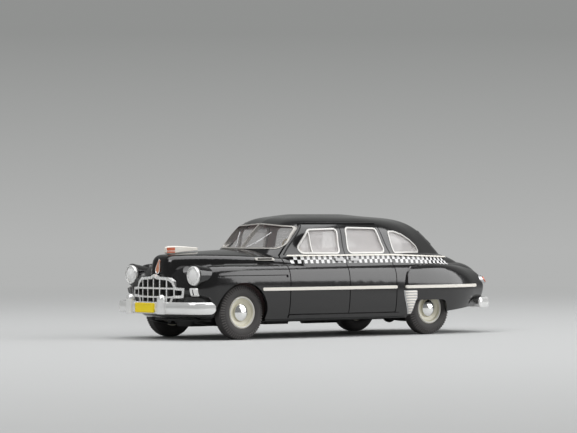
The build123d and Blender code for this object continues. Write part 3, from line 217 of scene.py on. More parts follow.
def shade(colour, share):
    """A lighter or darker tone of a colour."""
    return [share * channel for channel in colour]


def shader_of(material):
    """The main shader of a finish."""
    return next(item for item in material.node_tree.nodes if item.type == "BSDF_PRINCIPLED")


def finish(name, colour, spread, roughness, grain, bump, **sockets):
    """A finish whose colour, roughness and surface vary with a fine grain."""
    material = bpy.data.materials.get(name) or bpy.data.materials.new(name)
    material.use_nodes = True
    tree = material.node_tree
    tree.nodes.clear()
    shader = node(tree, "ShaderNodeBsdfPrincipled")
    node(tree, "ShaderNodeOutputMaterial", {"Surface": shader})
    place = node(tree, "ShaderNodeTexCoord").outputs["Object"]
    speckle = node(tree, "ShaderNodeTexNoise", {"Vector": place, "Scale": grain, "Detail": 4.0})
    dark, light = ([*shade(colour, share), 1.0] for share in (1 - spread, 1 + spread))
    tree.links.new(mix_colours(tree, speckle, dark, light), shader.inputs["Base Color"])
    sheen = node(
        tree, "ShaderNodeMapRange", {"Value": speckle, "To Min": roughness[0], "To Max": roughness[1]}
    )
    tree.links.new(sheen.outputs[0], shader.inputs["Roughness"])
    if bump:
        relief = node(tree, "ShaderNodeBump", {"Height": speckle, "Strength": bump, "Distance": 0.02 * MM})
        tree.links.new(relief.outputs[0], shader.inputs["Normal"])
    for socket, value in sockets.items():
        shader.inputs[socket.replace("_", " ")].default_value = value
    return material


def looks_outward(tree, place_y, facing_y):
    """Faces that look away from the middle plane."""
    return calc(tree, "GREATER_THAN", calc(tree, "MULTIPLY", place_y, facing_y), 1 * MM)


def looks_sideways(tree, place_y, facing_y):
    """Faces that look left or right, such as the flanks of upright bars."""
    return calc(tree, "GREATER_THAN", calc(tree, "MULTIPLY", facing_y, facing_y), 0.55)


def second_colour(name, colour, pick_faces):
    """Paints the faces that are picked in a second colour."""
    material = get_finish(name)
    tree, base = material.node_tree, shader_of(material).inputs["Base Color"]
    coords = node(tree, "ShaderNodeTexCoord").outputs
    place_y, facing_y = (parts(tree, coords[key])[1] for key in ("Object", "Normal"))
    picked = pick_faces(tree, place_y, facing_y)
    tree.links.new(mix_colours(tree, picked, base.links[0].from_socket, [*colour, 1.0]), base)


def make_finishes(colours):
    """Every finish of the model."""
    emblem = [share * channel for share, channel in zip((0.9, 1.7, 2.2), colours.badge)]
    # The tyre ribs take the rubber colour 2.4 times lighter, a painted highlight on the rib faces.
    cabin, dash, rib = shade(colours.seat, 0.8), shade(colours.seat, 0.7), shade(colours.tyre, 2.4)
    # The flank colour is the plating at 0.12 of its tone, painted shade on the sideways flanks of the grille
    # bars.
    screen, shaded_flank = shade(colours.pane_reflection, 0.8), shade(colours.plating, 0.12)
    # The handle colour is a dark grey for the chrome door handles, painted shade over them.
    steel, dull, handle, slot = (0.55, 0.55, 0.56), (0.40, 0.385, 0.36), (0.20,) * 3, (0.006,) * 3
    glass = (0.93, 0.93, 0.92)
    # Colour, spread of its tone, least and most roughness, grains per metre, bump, other sockets
    rows = {
        "enamel": (colours.body, 0.10, (0.13, 0.18), 420.0, 0.02, dict(Coat_Weight=0.4, Coat_Roughness=0.04)),
        "underside": (colours.underside, 0.2, (0.45, 0.6), 1500.0, 0.2, {}),
        "cabin": (cabin, 0.1, (0.5, 0.65), 1800.0, 0.2, {}),
        "lining": (colours.lining, 0.06, (0.6, 0.75), 2600.0, 0.3, {}),
        "seat": (colours.seat, 0.12, (0.5, 0.65), 2200.0, 0.3, {}),
        "dash": (dash, 0.1, (0.35, 0.5), 1500.0, 0.1, {}),
        "ivory": (colours.ivory, 0.05, (0.3, 0.4), 1200.0, 0.05, {}),
        "plating": (colours.plating, 0.04, (0.06, 0.13), 350.0, 0.02, dict(Metallic=0.55)),
        "chrome": (colours.plating, 0.04, (0.08, 0.15), 350.0, 0.02, dict(Metallic=0.92)),
        "silver": (colours.plating, 0.04, (0.22, 0.32), 700.0, 0.04, dict(Metallic=0.45)),
        "lattice": (colours.plating, 0.04, (0.22, 0.32), 700.0, 0.04, dict(Metallic=0.45)),
        "frame": (colours.frame, 0.05, (0.34, 0.44), 800.0, 0.05, dict(Metallic=0.35)),
        "steel": (steel, 0.08, (0.3, 0.45), 1500.0, 0.1, dict(Metallic=1.0)),
        "strip": (colours.strip, 0.03, (0.3, 0.4), 900.0, 0.03, {}),
        "chequer": (colours.chequer, 0.02, (0.35, 0.45), 900.0, 0.03, {}),
        "disc": (colours.disc, 0.05, (0.28, 0.38), 900.0, 0.04, dict(Coat_Weight=0.3)),
        "tyre": (colours.tyre, 0.25, (0.6, 0.8), 2600.0, 0.35, {}),
        "tyre_rib": (rib, 0.2, (0.5, 0.7), 2600.0, 0.3, {}),
        "plate": (colours.plate, 0.05, (0.3, 0.4), 900.0, 0.05, {}),
        "badge": (colours.badge, 0.12, (0.12, 0.2), 1200.0, 0.04, dict(Coat_Weight=0.6)),
        # Window and screen panes are see-through, with a pale colour that is painted reflection.
        "window": (colours.pane_reflection, 0.02, (0.05, 0.08), 300.0, 0.0, dict(Alpha=0.30)),
        "screen": (screen, 0.02, (0.04, 0.07), 300.0, 0.0, dict(Alpha=0.06)),
        "lens": (glass, 0.01, (0.06, 0.12), 300.0, 0.0, dict(Transmission_Weight=0.15, IOR=1.45)),
        "dull": (dull, 0.08, (0.35, 0.45), 900.0, 0.05, dict(Metallic=0.3)),
        "handle": (handle, 0.08, (0.12, 0.2), 900.0, 0.03, dict(Metallic=1.0)),
        "emblem": (emblem, 0.12, (0.2, 0.3), 1200.0, 0.04, {}),
        "slot_dark": (slot, 0.2, (0.6, 0.8), 1500.0, 0.1, {}),
    }
    for name, (*values, sockets) in rows.items():
        finish(name, *values, **sockets)
    # Faces of the cabin tub that look outward, into the gap inside the shell, get the underside black as
    # painted shade.
    second_colour("cabin", colours.underside, looks_outward)
    # Sideways faces of the grille bars get the dark flank colour as painted shade.
    second_colour("lattice", shaded_flank, looks_sideways)


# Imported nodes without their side, and wheel nodes without their end
NODE_FINISHES = {
    "body_shell": "enamel",
    "baseplate": "underside",
    "interior_tub": "cabin",
    "front_seat": "seat",
    "rear_seat": "seat",
    "dashboard": "dash",
    "steering_wheel": "ivory",
    "windscreen": "screen",
    "rear_window": "window",
    "side_windows": "window",
    "windscreen_frame": "dull",
    "rear_window_frame": "enamel",
    "window_frames": "frame",
    "grille": "lattice",
    "grille_backing": "slot_dark",
    "front_bumper": "plating",
    "rear_bumper": "plating",
    "front_plate": "plate",
    "headlamp_rims": "silver",
    "headlamp_lenses": "lens",
    "parking_lamps": "plating",
    "tail_lamps": "steel",
    "tail_lenses": "badge",
    "hood_ornament": "silver",
    "hood_emblem": "emblem",
    "hood_side_vents": "dull",
    "side_strips": "strip",
    "belt_moulding": "strip",
    # The shield plate takes the darker steel under the pale ribs, painted shade in the grooves between the
    # ribs.
    "gravel_shield": "steel",
    # The chrome door handles take the dark handle metal as painted shade.
    "door_handles": "handle",
    "trunk_handle": "plating",
    "axle_rod": "steel",
    "tyre": "tyre",
    "disc": "disc",
    "cap": "chrome",
}


def node_finish(name):
    """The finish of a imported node."""
    name = name.removesuffix("_left").removesuffix("_right")
    if name not in NODE_FINISHES:
        name = name.removeprefix("front_").removeprefix("rear_")
    return NODE_FINISHES[name]


def get_finish(name):
    """A finish made earlier, by its name."""
    return bpy.data.materials[name]


# Geometry trees


def new_tree(name, **inputs):
    """An empty geometry tree, and the sockets that give its named inputs."""
    tree = bpy.data.node_groups.new(name, "GeometryNodeTree")
    sockets = {"Geometry": "Geometry", **inputs, "Finish": "Material"}
    for label, kind in sockets.items():
        tree.interface.new_socket(label, in_out="INPUT", socket_type=f"NodeSocket{kind}")
    tree.interface.new_socket("Geometry", in_out="OUTPUT", socket_type="NodeSocketGeometry")
    return tree, node(tree, "NodeGroupInput").outputs


def end_tree(tree, geometry, given):
    """Closes a tree with real geometry in its finish."""
    realised = node(tree, "GeometryNodeRealizeInstances", {0: geometry})
    finished = node(tree, "GeometryNodeSetMaterial", {"Geometry": realised, "Material": given["Finish"]})
    node(tree, "NodeGroupOutput", {0: finished})
    return tree


def grown(tree, style, base=None, **values):
    """The plain mesh that a tree makes in a named finish from its named input values."""
    values["Finish"] = get_finish(style)
    holder = bpy.data.objects.new(tree.name, base or bpy.data.meshes.new(tree.name))
    bpy.context.scene.collection.objects.link(holder)
    modifier = holder.modifiers.new(tree.name, "NODES")
    modifier.node_group = tree
    for item in tree.interface.items_tree:
        if item.in_out == "INPUT" and item.name in values:
            modifier[item.identifier] = values[item.name]
    evaluated = holder.evaluated_get(bpy.context.evaluated_depsgraph_get())
    mesh = bpy.data.meshes.new_from_object(evaluated)
    holder.modifiers.remove(modifier)
    bpy.data.objects.remove(holder)
    return mesh


def packed_mesh(tree, given_object):
    """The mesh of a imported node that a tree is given."""
    info = node(tree, "GeometryNodeObjectInfo", {"Object": given_object}, transform_space="RELATIVE")
    return info.outputs["Geometry"]


def ray_on(tree, target, start, direction, reach):
    """Where rays meet a mesh."""
    return node(
        tree,
        "GeometryNodeRaycast",
        {"Target Geometry": target, "Source Position": start, "Ray Direction": direction, "Ray Length": reach},
    ).outputs


def inward_of(tree, given_side):
    """The direction from a side to the middle plane."""
    return vector(tree, y=calc(tree, "MULTIPLY", given_side, -1.0))


def thick_sheet(tree, sheet, thickness, outward=None):
    """A sheet raised by its thickness and closed below; it rises along its normals if no way is given."""
    inputs = {"Mesh": sheet, "Offset Scale": thickness, "Individual": False}
    if outward is not None:
        inputs["Offset"] = outward
    raised = node(tree, "GeometryNodeExtrudeMesh", inputs)
    under = node(tree, "GeometryNodeFlipFaces", {0: sheet})
    both = node(tree, "GeometryNodeJoinGeometry")
    for part in (raised, under):
        tree.links.new(part.outputs[0], both.inputs[0])
    return both


def round_bar(tree, curve, radius, sides):
    """A round bar along a curve, with closed ends."""
    profile = node(tree, "GeometryNodeCurvePrimitiveCircle", {"Resolution": sides, "Radius": radius})
    return node(tree, "GeometryNodeCurveToMesh", {"Curve": curve, "Profile Curve": profile, "Fill Caps": True})


def surface_bars():
    """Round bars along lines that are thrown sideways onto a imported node, where they meet it."""
    tree, given = new_tree(
        "surface_bars", Target="Object", Side="Float", Spacing="Float", Lift="Float", Thickness="Float"
    )
    lines = node(tree, "GeometryNodeMeshToCurve", {"Mesh": given["Geometry"]})
    steps = node(tree, "GeometryNodeResampleCurve", {"Curve": lines, "Length": given["Spacing"]}, mode="LENGTH")
    inward = inward_of(tree, given["Side"])
    place = node(tree, "GeometryNodeInputPosition")
    ray = ray_on(tree, packed_mesh(tree, given["Target"]), place, inward, 40 * MM)
    missed = node(tree, "FunctionNodeBooleanMath", {0: ray["Is Hit"]}, operation="NOT")
    kept = node(
        tree, "GeometryNodeDeleteGeometry", {"Geometry": steps, "Selection": missed}, domain="POINT"
    )
    lift = vector_calc(tree, "SCALE", inward, given["Lift"])
    spot = vector_calc(tree, "SUBTRACT", ray["Hit Position"], lift)
    laid = node(tree, "GeometryNodeSetPosition", {"Geometry": kept, "Position": spot})
    return end_tree(tree, round_bar(tree, laid, given["Thickness"], 8), given)


# Meshes


def to_mesh(shape, name):
    """A plain mesh from a bmesh, which is freed."""
    mesh = bpy.data.meshes.new(name)
    shape.to_mesh(mesh)
    shape.free()
    return mesh


def place_piece(name, meshes, style, body, smooth=True):
    """One piece from plain meshes in a named finish, riding on a body of the frame."""
    shape = bmesh.new()
    for mesh in meshes:
        shape.from_mesh(mesh)
    bmesh.ops.remove_doubles(shape, verts=shape.verts, dist=0.001 * MM)
    bmesh.ops.recalc_face_normals(shape, faces=shape.faces)
    data = to_mesh(shape, name)
    data.materials.clear()
    data.materials.append(get_finish(style))
    for polygon in data.polygons:
        polygon.material_index = 0
        polygon.use_smooth = smooth
    if smooth:
        data.set_sharp_from_angle(angle=radians(35))
    piece = bpy.data.objects.new(name, data)
    bpy.context.scene.collection.objects.link(piece)
    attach(piece, body)
    return piece


def cast(name, origin, direction):
    """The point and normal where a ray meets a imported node."""
    hit, point, normal, _ = NODES[name].ray_cast(Vector(origin), Vector(direction))
    if not hit:
        raise RuntimeError(f"a ray from {tuple(origin)} misses {name}")
    return point, normal


def line_mesh(lines):
    """A wire mesh of open lines."""
    shape = bmesh.new()
    for line in lines:
        points = [shape.verts.new(point) for point in line]
        for pair in zip(points, points[1:]):
            shape.edges.new(pair)
    return to_mesh(shape, "lines")


def rod(points, radius):
    """A round bar through the points, with closed ends."""
    line = bpy.data.curves.new("rod", "CURVE")
    line.dimensions = "3D"
    line.bevel_depth = radius
    line.bevel_resolution = 2
    line.use_fill_caps = True
    spline = line.splines.new("POLY")
    spline.points.add(len(points) - 1)
    for spot, point in zip(spline.points, points):
        spot.co = (*point, 1.0)
    holder = bpy.data.objects.new("rod", line)
    mesh = bpy.data.meshes.new_from_object(holder)
    bpy.data.objects.remove(holder)
    return mesh


def prism(plan, low_z, high_z):
    """An upright block on a plan outline."""
    shape = bmesh.new()
    base = shape.faces.new([shape.verts.new((x, y, low_z)) for x, y in plan])
    raised = bmesh.ops.extrude_face_region(shape, geom=[base])["geom"]
    for vertex in (item for item in raised if isinstance(item, bmesh.types.BMVert)):
        vertex.co.z = high_z
    return to_mesh(shape, "prism")


def bridge(shape, first, second):
    """Joins two rings of as many points by a band of faces."""
    for number in range(len(first)):
        after = (number + 1) % len(first)
        shape.faces.new((first[number], first[after], second[after], second[number]))


def loft(sections):
    """A closed skin over upright sections, each given as place along X, half width, low and high."""
    corner = 0.32
    shape = bmesh.new()
    rings = []
    for x, half, low, high in sections:
        edge, mid = corner * half, (low + high) / 2
        rise = (high - low) / 2 - corner * min(half, (high - low) / 2)
        spots = (
            (half, mid - rise), (half, mid + rise), (half - edge, high), (edge - half, high),
            (-half, mid + rise), (-half, mid - rise), (edge - half, low), (half - edge, low),
        )
        rings.append([shape.verts.new((x, y, z)) for y, z in spots])
    for pair in zip(rings, rings[1:]):
        bridge(shape, *pair)
    shape.faces.new(rings[0][::-1])
    shape.faces.new(rings[-1])
    return to_mesh(shape, "loft")


def soft_box(low, high, edge):
    """A box with rounded edges."""
    shape = bmesh.new()
    bmesh.ops.create_cube(shape, size=1.0)
    low, high = Vector(low), Vector(high)
    for vertex in shape.verts:
        vertex.co = (low + high) / 2 + Vector(a * b for a, b in zip(vertex.co, high - low))
    bmesh.ops.bevel(shape, geom=shape.edges[:], offset=edge, segments=3, affect="EDGES", profile=0.5)
    return to_mesh(shape, "soft_box")


# Operators


class TAXI_OT_finishes(bpy.types.Operator):
    """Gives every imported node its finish"""

    bl_idname = "taxi.finishes"
    bl_label = "Finishes"

    def execute(self, context):
        make_finishes(context.scene.taxi_colours)
        for name, packed in NODES.items():
            if not packed.material_slots:
                packed.data.materials.append(None)
            for slot in packed.material_slots:
                slot.material = get_finish(node_finish(name))
        return {"FINISHED"}


class TAXI_OT_chequers(bpy.types.Operator):
    """Prints the chequered band along both sides"""

    bl_idname = "taxi.chequers"
    bl_label = "Chequered band"

    def tree(self):
        tree, given = new_tree(
            "chequer_band", Body="Object", Square="Float", Columns="Int", Rows="Int", Middle="Float",
            Low="Float", Bend="Float", Fall="Float", Side="Float", Film="Float",
        )
        length, height = (calc(tree, "MULTIPLY", given[key], given["Square"]) for key in ("Columns", "Rows"))
        grid = node(
            tree,
            "GeometryNodeMeshGrid",
            {
                "Size X": length,
                "Size Y": height,
                "Vertices X": calc(tree, "ADD", given["Columns"], 1),
                "Vertices Y": calc(tree, "ADD", given["Rows"], 1),
            },
        )
        flat_x, flat_y, _ = parts(tree, node(tree, "GeometryNodeInputPosition"))
        along = calc(tree, "ADD", flat_x, calc(tree, "MULTIPLY", length, 0.5))
        up = calc(tree, "ADD", flat_y, calc(tree, "MULTIPLY", height, 0.5))
        column, row = (calc(tree, "FLOOR", calc(tree, "DIVIDE", spot, given["Square"])) for spot in (along, up))
        odd = calc(tree, "MODULO", calc(tree, "ADD", column, row), 2.0)
        black = calc(tree, "GREATER_THAN", odd, 0.5)
        whites = node(tree, "GeometryNodeDeleteGeometry", {"Geometry": grid, "Selection": black}, domain="FACE")
        apart = node(tree, "GeometryNodeSplitEdges", {0: whites})
        fine = node(tree, "GeometryNodeSubdivideMesh", {"Mesh": apart, "Level": 2})

        side_x = calc(tree, "SUBTRACT", given["Middle"], calc(tree, "MULTIPLY", flat_x, given["Side"]))
        past_bend = calc(tree, "MAXIMUM", calc(tree, "SUBTRACT", given["Bend"], side_x), 0.0)
        drop = calc(tree, "MULTIPLY", past_bend, given["Fall"])
        level = calc(tree, "SUBTRACT", calc(tree, "ADD", given["Low"], up), drop)
        start = vector(tree, side_x, calc(tree, "MULTIPLY", given["Side"], BESIDE), level)
        ray = ray_on(
            tree, packed_mesh(tree, given["Body"]), start, inward_of(tree, given["Side"]), BESIDE
        )
        outward = ray["Hit Normal"]
        sunk = vector_calc(tree, "SCALE", outward, calc(tree, "MULTIPLY", given["Film"], -0.5))
        kept = node(tree, "GeometryNodeCaptureAttribute", {"Geometry": fine})
        kept.capture_items.new("VECTOR", "Outward")
        tree.links.new(outward, kept.inputs[1])
        laid = node(
            tree,
            "GeometryNodeSetPosition",
            {"Geometry": kept, "Position": ray["Hit Position"], "Offset": sunk, "Selection": ray["Is Hit"]},
        )
        return end_tree(tree, thick_sheet(tree, laid, given["Film"], kept.outputs[1]), given)

    def execute(self, context):
        trim = context.scene.taxi_trim
        tree = self.tree()
        meshes = [
            grown(
                tree, "chequer", Body=NODES["body_shell"], Square=trim.square, Columns=trim.columns,
                Rows=trim.rows, Middle=trim.band_front - trim.columns * trim.square / 2, Low=trim.band_low,
                Bend=-trim.bend_behind, Fall=trim.band_fall, Side=float(side), Film=trim.film,
            )
            for _, side in SIDES
        ]
        place_piece("chequer_band", meshes, "chequer", "body", smooth=False)
        return {"FINISHED"}


class TAXI_OT_wheels(bpy.types.Operator):
    """Sets short ribs round the shoulders of the tyres and a bright hoop round each disc"""

    bl_idname = "taxi.wheels"
    bl_label = "Wheels"

    def ribs(self):
        tree, given = new_tree(
            "tyre_ribs", Count="Int", Radius="Float", Rib="Vector", Out="Float", Lean="Float"
        )
        ring = node(tree, "GeometryNodeMeshCircle", {"Vertices": given["Count"], "Radius": given["Radius"]})
        rib = node(tree, "GeometryNodeMeshCube", {"Size": given["Rib"]})
        lean = vector(tree, y=given["Lean"])
        leaning = node(tree, "GeometryNodeTransform", {"Geometry": rib, "Rotation": lean})
        step = calc(tree, "DIVIDE", 2 * pi, given["Count"])
        turn = vector(tree, z=calc(tree, "MULTIPLY", node(tree, "GeometryNodeInputIndex"), step))
        placed = node(
            tree, "GeometryNodeInstanceOnPoints", {"Points": ring, "Instance": leaning, "Rotation": turn}
        )
        return self.moved_out(tree, placed, given)

    def hoop(self):
        tree, given = new_tree("disc_hoop", Radius="Float", Thickness="Float", Out="Float")
        circle = node(tree, "GeometryNodeCurvePrimitiveCircle", {"Resolution": 64, "Radius": given["Radius"]})
        return self.moved_out(tree, round_bar(tree, circle, given["Thickness"], 10), given)

    def moved_out(self, tree, geometry, given):
        """Ends a tree after a move along the axle."""
        out = vector(tree, z=given["Out"])
        moved = node(tree, "GeometryNodeTransform", {"Geometry": geometry, "Translation": out})
        return end_tree(tree, moved, given)

    def execute(self, context):
        ribs, hoop = self.ribs(), self.hoop()
        count = context.scene.taxi_trim.tyre_ribs
        for end in ENDS:
            rib_meshes, hoop_meshes = [], []
            for side_name, side in SIDES:
                low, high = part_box(f"{end}_tyre_{side_name}")
                disc_low, disc_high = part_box(f"{end}_disc_{side_name}")
                middle, radius = (low + high) / 2, (high.z - low.z) / 2
                disc_radius = (disc_high.z - disc_low.z) / 2
                face = max(side * disc_low.y, side * disc_high.y) - side * middle.y
                # The ribs are grown in the lighter rib colour, a painted highlight on the tyre shoulders.
                rib_mesh = grown(
                    ribs, "tyre_rib", Count=count, Radius=radius - 0.75 * MM, Out=1.82 * MM, Lean=radians(31),
                    Rib=(1.25 * MM, 0.38 * MM, 0.40 * MM),
                )
                hoop_mesh = grown(
                    hoop, "frame", Radius=disc_radius - 0.32 * MM, Thickness=0.22 * MM, Out=face - 0.05 * MM
                )
                seat = Matrix.Translation(middle) @ Matrix.Rotation(-side * pi / 2, 4, "X")
                for mesh, group in ((rib_mesh, rib_meshes), (hoop_mesh, hoop_meshes)):
                    mesh.transform(seat)
                    group.append(mesh)
            place_piece(f"{end}_tyre_ribs", rib_meshes, "tyre_rib", f"{end}_axle", smooth=False)
            place_piece(f"{end}_disc_hoops", hoop_meshes, "frame", f"{end}_axle")
        return {"FINISHED"}


class TAXI_OT_shield_ribs(bpy.types.Operator):
    """Lays the level ribs on both gravel shields"""

    bl_idname = "taxi.shield_ribs"
    bl_label = "Shield ribs"

    def edges_at(self, name, side, z, low, high):
        """Rear and front ends of the shield at one height, a little inside its outline."""
        steps, fewest, inset = 60, 6, 0.25 * MM
        places = [low.x + (high.x - low.x) * step / steps for step in range(steps + 1)]
        inward = Vector((0, -side, 0))
        hits = [x for x in places if NODES[name].ray_cast(Vector((x, side * BESIDE, z)), inward)[0]]
        return (hits[0] + inset, hits[-1] - inset) if len(hits) >= fewest else None

    def execute(self, context):
        tree = surface_bars()
        count = context.scene.taxi_trim.shield_ribs
        meshes = []
        for side_name, side in SIDES:
            name = f"gravel_shield_{side_name}"
            low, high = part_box(name)
            pitch = (high.z - low.z) / count
            heights = [low.z + (number + 0.5) * pitch for number in range(count)]
            spans = [(z, self.edges_at(name, side, z, low, high)) for z in heights]
            lines = [[(x, side * BESIDE, z) for x in ends] for z, ends in spans if ends]
            meshes.append(
                grown(
                    tree, "strip", line_mesh(lines), Target=NODES[name], Side=float(side), Spacing=0.6 * MM,
                    Lift=0.0, Thickness=0.27 * MM,
                )
            )
        place_piece("gravel_shield_ribs", meshes, "strip", "body")
        return {"FINISHED"}


class TAXI_OT_door_seals(bpy.types.Operator):
    """Lays the dark seals round the tops of the doors"""

    bl_idname = "taxi.door_seals"
    bl_label = "Door seals"

    def execute(self, context):
        tree = surface_bars()
        meshes = []
        for _, side in SIDES:
            lines = [[(x * MM, side * BESIDE, z * MM) for x, z in line] for line in DOOR_SEALS]
            meshes.append(
                grown(
                    tree, "slot_dark", line_mesh(lines), Target=NODES["body_shell"], Side=float(side),
                    Spacing=0.5 * MM, Lift=0.25 * MM, Thickness=0.2 * MM,
                )
            )
        place_piece("door_seals", meshes, "slot_dark", "body")
        return {"FINISHED"}


class TAXI_OT_rear_bumper(bpy.types.Operator):
    """Bends the round-ended rear bumper close round the tail"""

    bl_idname = "taxi.rear_bumper"
    bl_label = "Rear bumper"

    def tree(self):
        tree, given = new_tree("bumper_bar", Thickness="Float", Height="Float", Bend="Float", Round="Float")
        line = node(tree, "GeometryNodeMeshToCurve", {"Mesh": given["Geometry"]})
        bent = node(
            tree,
            "GeometryNodeFilletCurve",
            {"Curve": line, "Radius": given["Bend"], "Count": 10, "Limit Radius": True},
            mode="POLY",
        )
        spaced = node(tree, "GeometryNodeResampleCurve", {"Curve": bent, "Count": 160})
        upright = node(tree, "GeometryNodeSetCurveNormal", {"Curve": spaced}, mode="Z_UP")
        circle = node(tree, "GeometryNodeCurvePrimitiveCircle", {"Resolution": 24, "Radius": 0.5})
        oval = vector(tree, given["Thickness"], given["Height"], 1.0)
        profile = node(tree, "GeometryNodeTransform", {"Geometry": circle, "Scale": oval})
        factor = node(tree, "GeometryNodeSplineParameter").outputs["Factor"]
        from_middle = calc(tree, "ABSOLUTE", calc(tree, "SUBTRACT", calc(tree, "MULTIPLY", factor, 2.0), 1.0))
        start = calc(tree, "SUBTRACT", 1.0, given["Round"])
        into_end = calc(tree, "MAXIMUM", calc(tree, "SUBTRACT", from_middle, start), 0.0)
        share = calc(tree, "DIVIDE", into_end, given["Round"])
        fall = calc(tree, "MULTIPLY", calc(tree, "MULTIPLY", share, share), 0.985)
        size = calc(tree, "SQRT", calc(tree, "SUBTRACT", 1.0, fall))
        bar = node(
            tree,
            "GeometryNodeCurveToMesh",
            {"Curve": upright, "Profile Curve": profile, "Scale": size, "Fill Caps": True},
        )
        return end_tree(tree, bar, given)

    def execute(self, context):
        low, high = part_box("rear_bumper")
        middle = (low.z + high.z) / 2
        half_route = ((9.4, 18.1), (3.3, 15.7), (0.7, 7.2))
        spots = [(low.x + ahead * MM, across * MM, middle) for ahead, across in half_route]
        spots += [(x, -y, z) for x, y, z in reversed(spots)]
        bar = grown(
            self.tree(), "plating", line_mesh([spots]), Thickness=1.5 * MM, Height=3.6 * MM, Bend=2.6 * MM,
            Round=0.075,
        )
        apart, half_width = 8.6 * MM, 0.8 * MM
        brackets = [
            soft_box(
                (low.x + 0.9 * MM, side * apart - half_width, 9.5 * MM),
                (low.x + 3.2 * MM, side * apart + half_width, 10.7 * MM),
                0.1 * MM,
            )
            for _, side in SIDES
        ]
        piece = place_piece("rear_bumper_bar", [bar, *brackets], "plating", "body")
        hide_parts("rear_bumper")
        return {"FINISHED"}


class TAXI_OT_headlamps(bpy.types.Operator):
    """Makes the fluted headlamp lenses and the bright bowls behind them"""

    bl_idname = "taxi.headlamps"
    bl_label = "Headlamps"

    def disc(self, centre, radius, rings, spokes, height, back_x):
        """A round block facing forwards; height gives its face over the radius share and the sideways place."""
        shape = bmesh.new()
        middle = shape.verts.new(centre + Vector((height(0.0, 0.0), 0, 0)))
        last = None
        for ring in range(1, rings + 1):
            share = ring / rings
            spots = []
            for spoke in range(spokes):
                turn = 2 * pi * spoke / spokes
                across, up = radius * share * cos(turn), radius * share * sin(turn)
                spots.append(shape.verts.new(centre + Vector((height(share, across / radius), across, up))))
            if last:
                bridge(shape, last, spots)
            else:
                for pair in zip(spots, spots[1:] + spots[:1]):
                    shape.faces.new((middle, *pair))
            last = spots
        back = [shape.verts.new((centre.x + back_x, vertex.co.y, vertex.co.z)) for vertex in last]
        bridge(shape, last, back)
        shape.faces.new(back[::-1])
        return to_mesh(shape, "lamp")

    def lens(self, centre, radius, depth, flutes):
        """A crowned glass with upright flutes."""

        def height(share, across):
            flute = abs(cos(0.5 * pi * flutes * across)) * (1 - share**4)
            return depth * (0.45 + 0.48 * (1 - share**2)) + 0.06 * depth * flute

        return self.disc(centre, radius, 14, 72, height, 0.36 * depth)

    def bowl(self, centre, radius, depth):
        """A bright dish behind the glass."""
        return self.disc(
            centre, radius, 8, 48, lambda share, across: depth * (0.15 + 0.85 * share**2), 0.01 * MM
        )

    def execute(self, context):
        low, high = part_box("headlamp_lenses")
        radius, depth = (high.z - low.z) / 2, high.x - low.x
        lenses, bowls = [], []
        for _, side in SIDES:
            centre = Vector((low.x, side * (high.y - radius), (low.z + high.z) / 2))
            lenses.append(self.lens(centre, radius, depth, context.scene.taxi_trim.flutes))
            bowls.append(self.bowl(centre, 0.98 * radius, 0.35 * depth))
        lens = place_piece("headlamp_glass", lenses, "lens", "body")
        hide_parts("headlamp_lenses")
        place_piece("headlamp_bowls", bowls, "silver", "body")
        return {"FINISHED"}


class TAXI_OT_wipers(bpy.types.Operator):
    """Lays the two wipers on the windscreen"""

    bl_idname = "taxi.wipers"
    bl_label = "Wipers"

    def on_screen(self, y, z, stand):
        """A point a little in front of the screen, its frame or the shell, whichever is foremost."""
        hits = []
        for name in ("windscreen", "windscreen_frame", "body_shell"):
            found, point, normal, _ = NODES[name].ray_cast(Vector((AHEAD, y, z)), BACKWARD)
            if found:
                hits.append((point.x, point, normal))
        _, point, normal = max(hits, key=lambda hit: hit[0])
        return point + normal * stand

    def execute(self, context):
        pivot, reach = Vector((2.8 * MM, 27.3 * MM)), Vector((6.6 * MM, 30.6 * MM))
        arm_line = [pivot.lerp(reach, share) for share in (0.0, 0.35, 0.7, 1.0)]
        blade_line = [
            reach + Vector(move) * MM for move in ((-2.2, -2.3), (-1.1, -1.2), (0.0, 0.0), (1.2, 1.3))
        ]
        meshes = []
        for _, side in SIDES:
            for line, stand, thickness in ((arm_line, 0.30, 0.11), (blade_line, 0.16, 0.13)):
                spots = [self.on_screen(side * spot.x, spot.y, stand * MM) for spot in line]
                meshes.append(rod(spots, thickness * MM))
        place_piece("wipers", meshes, "steel", "body")
        return {"FINISHED"}


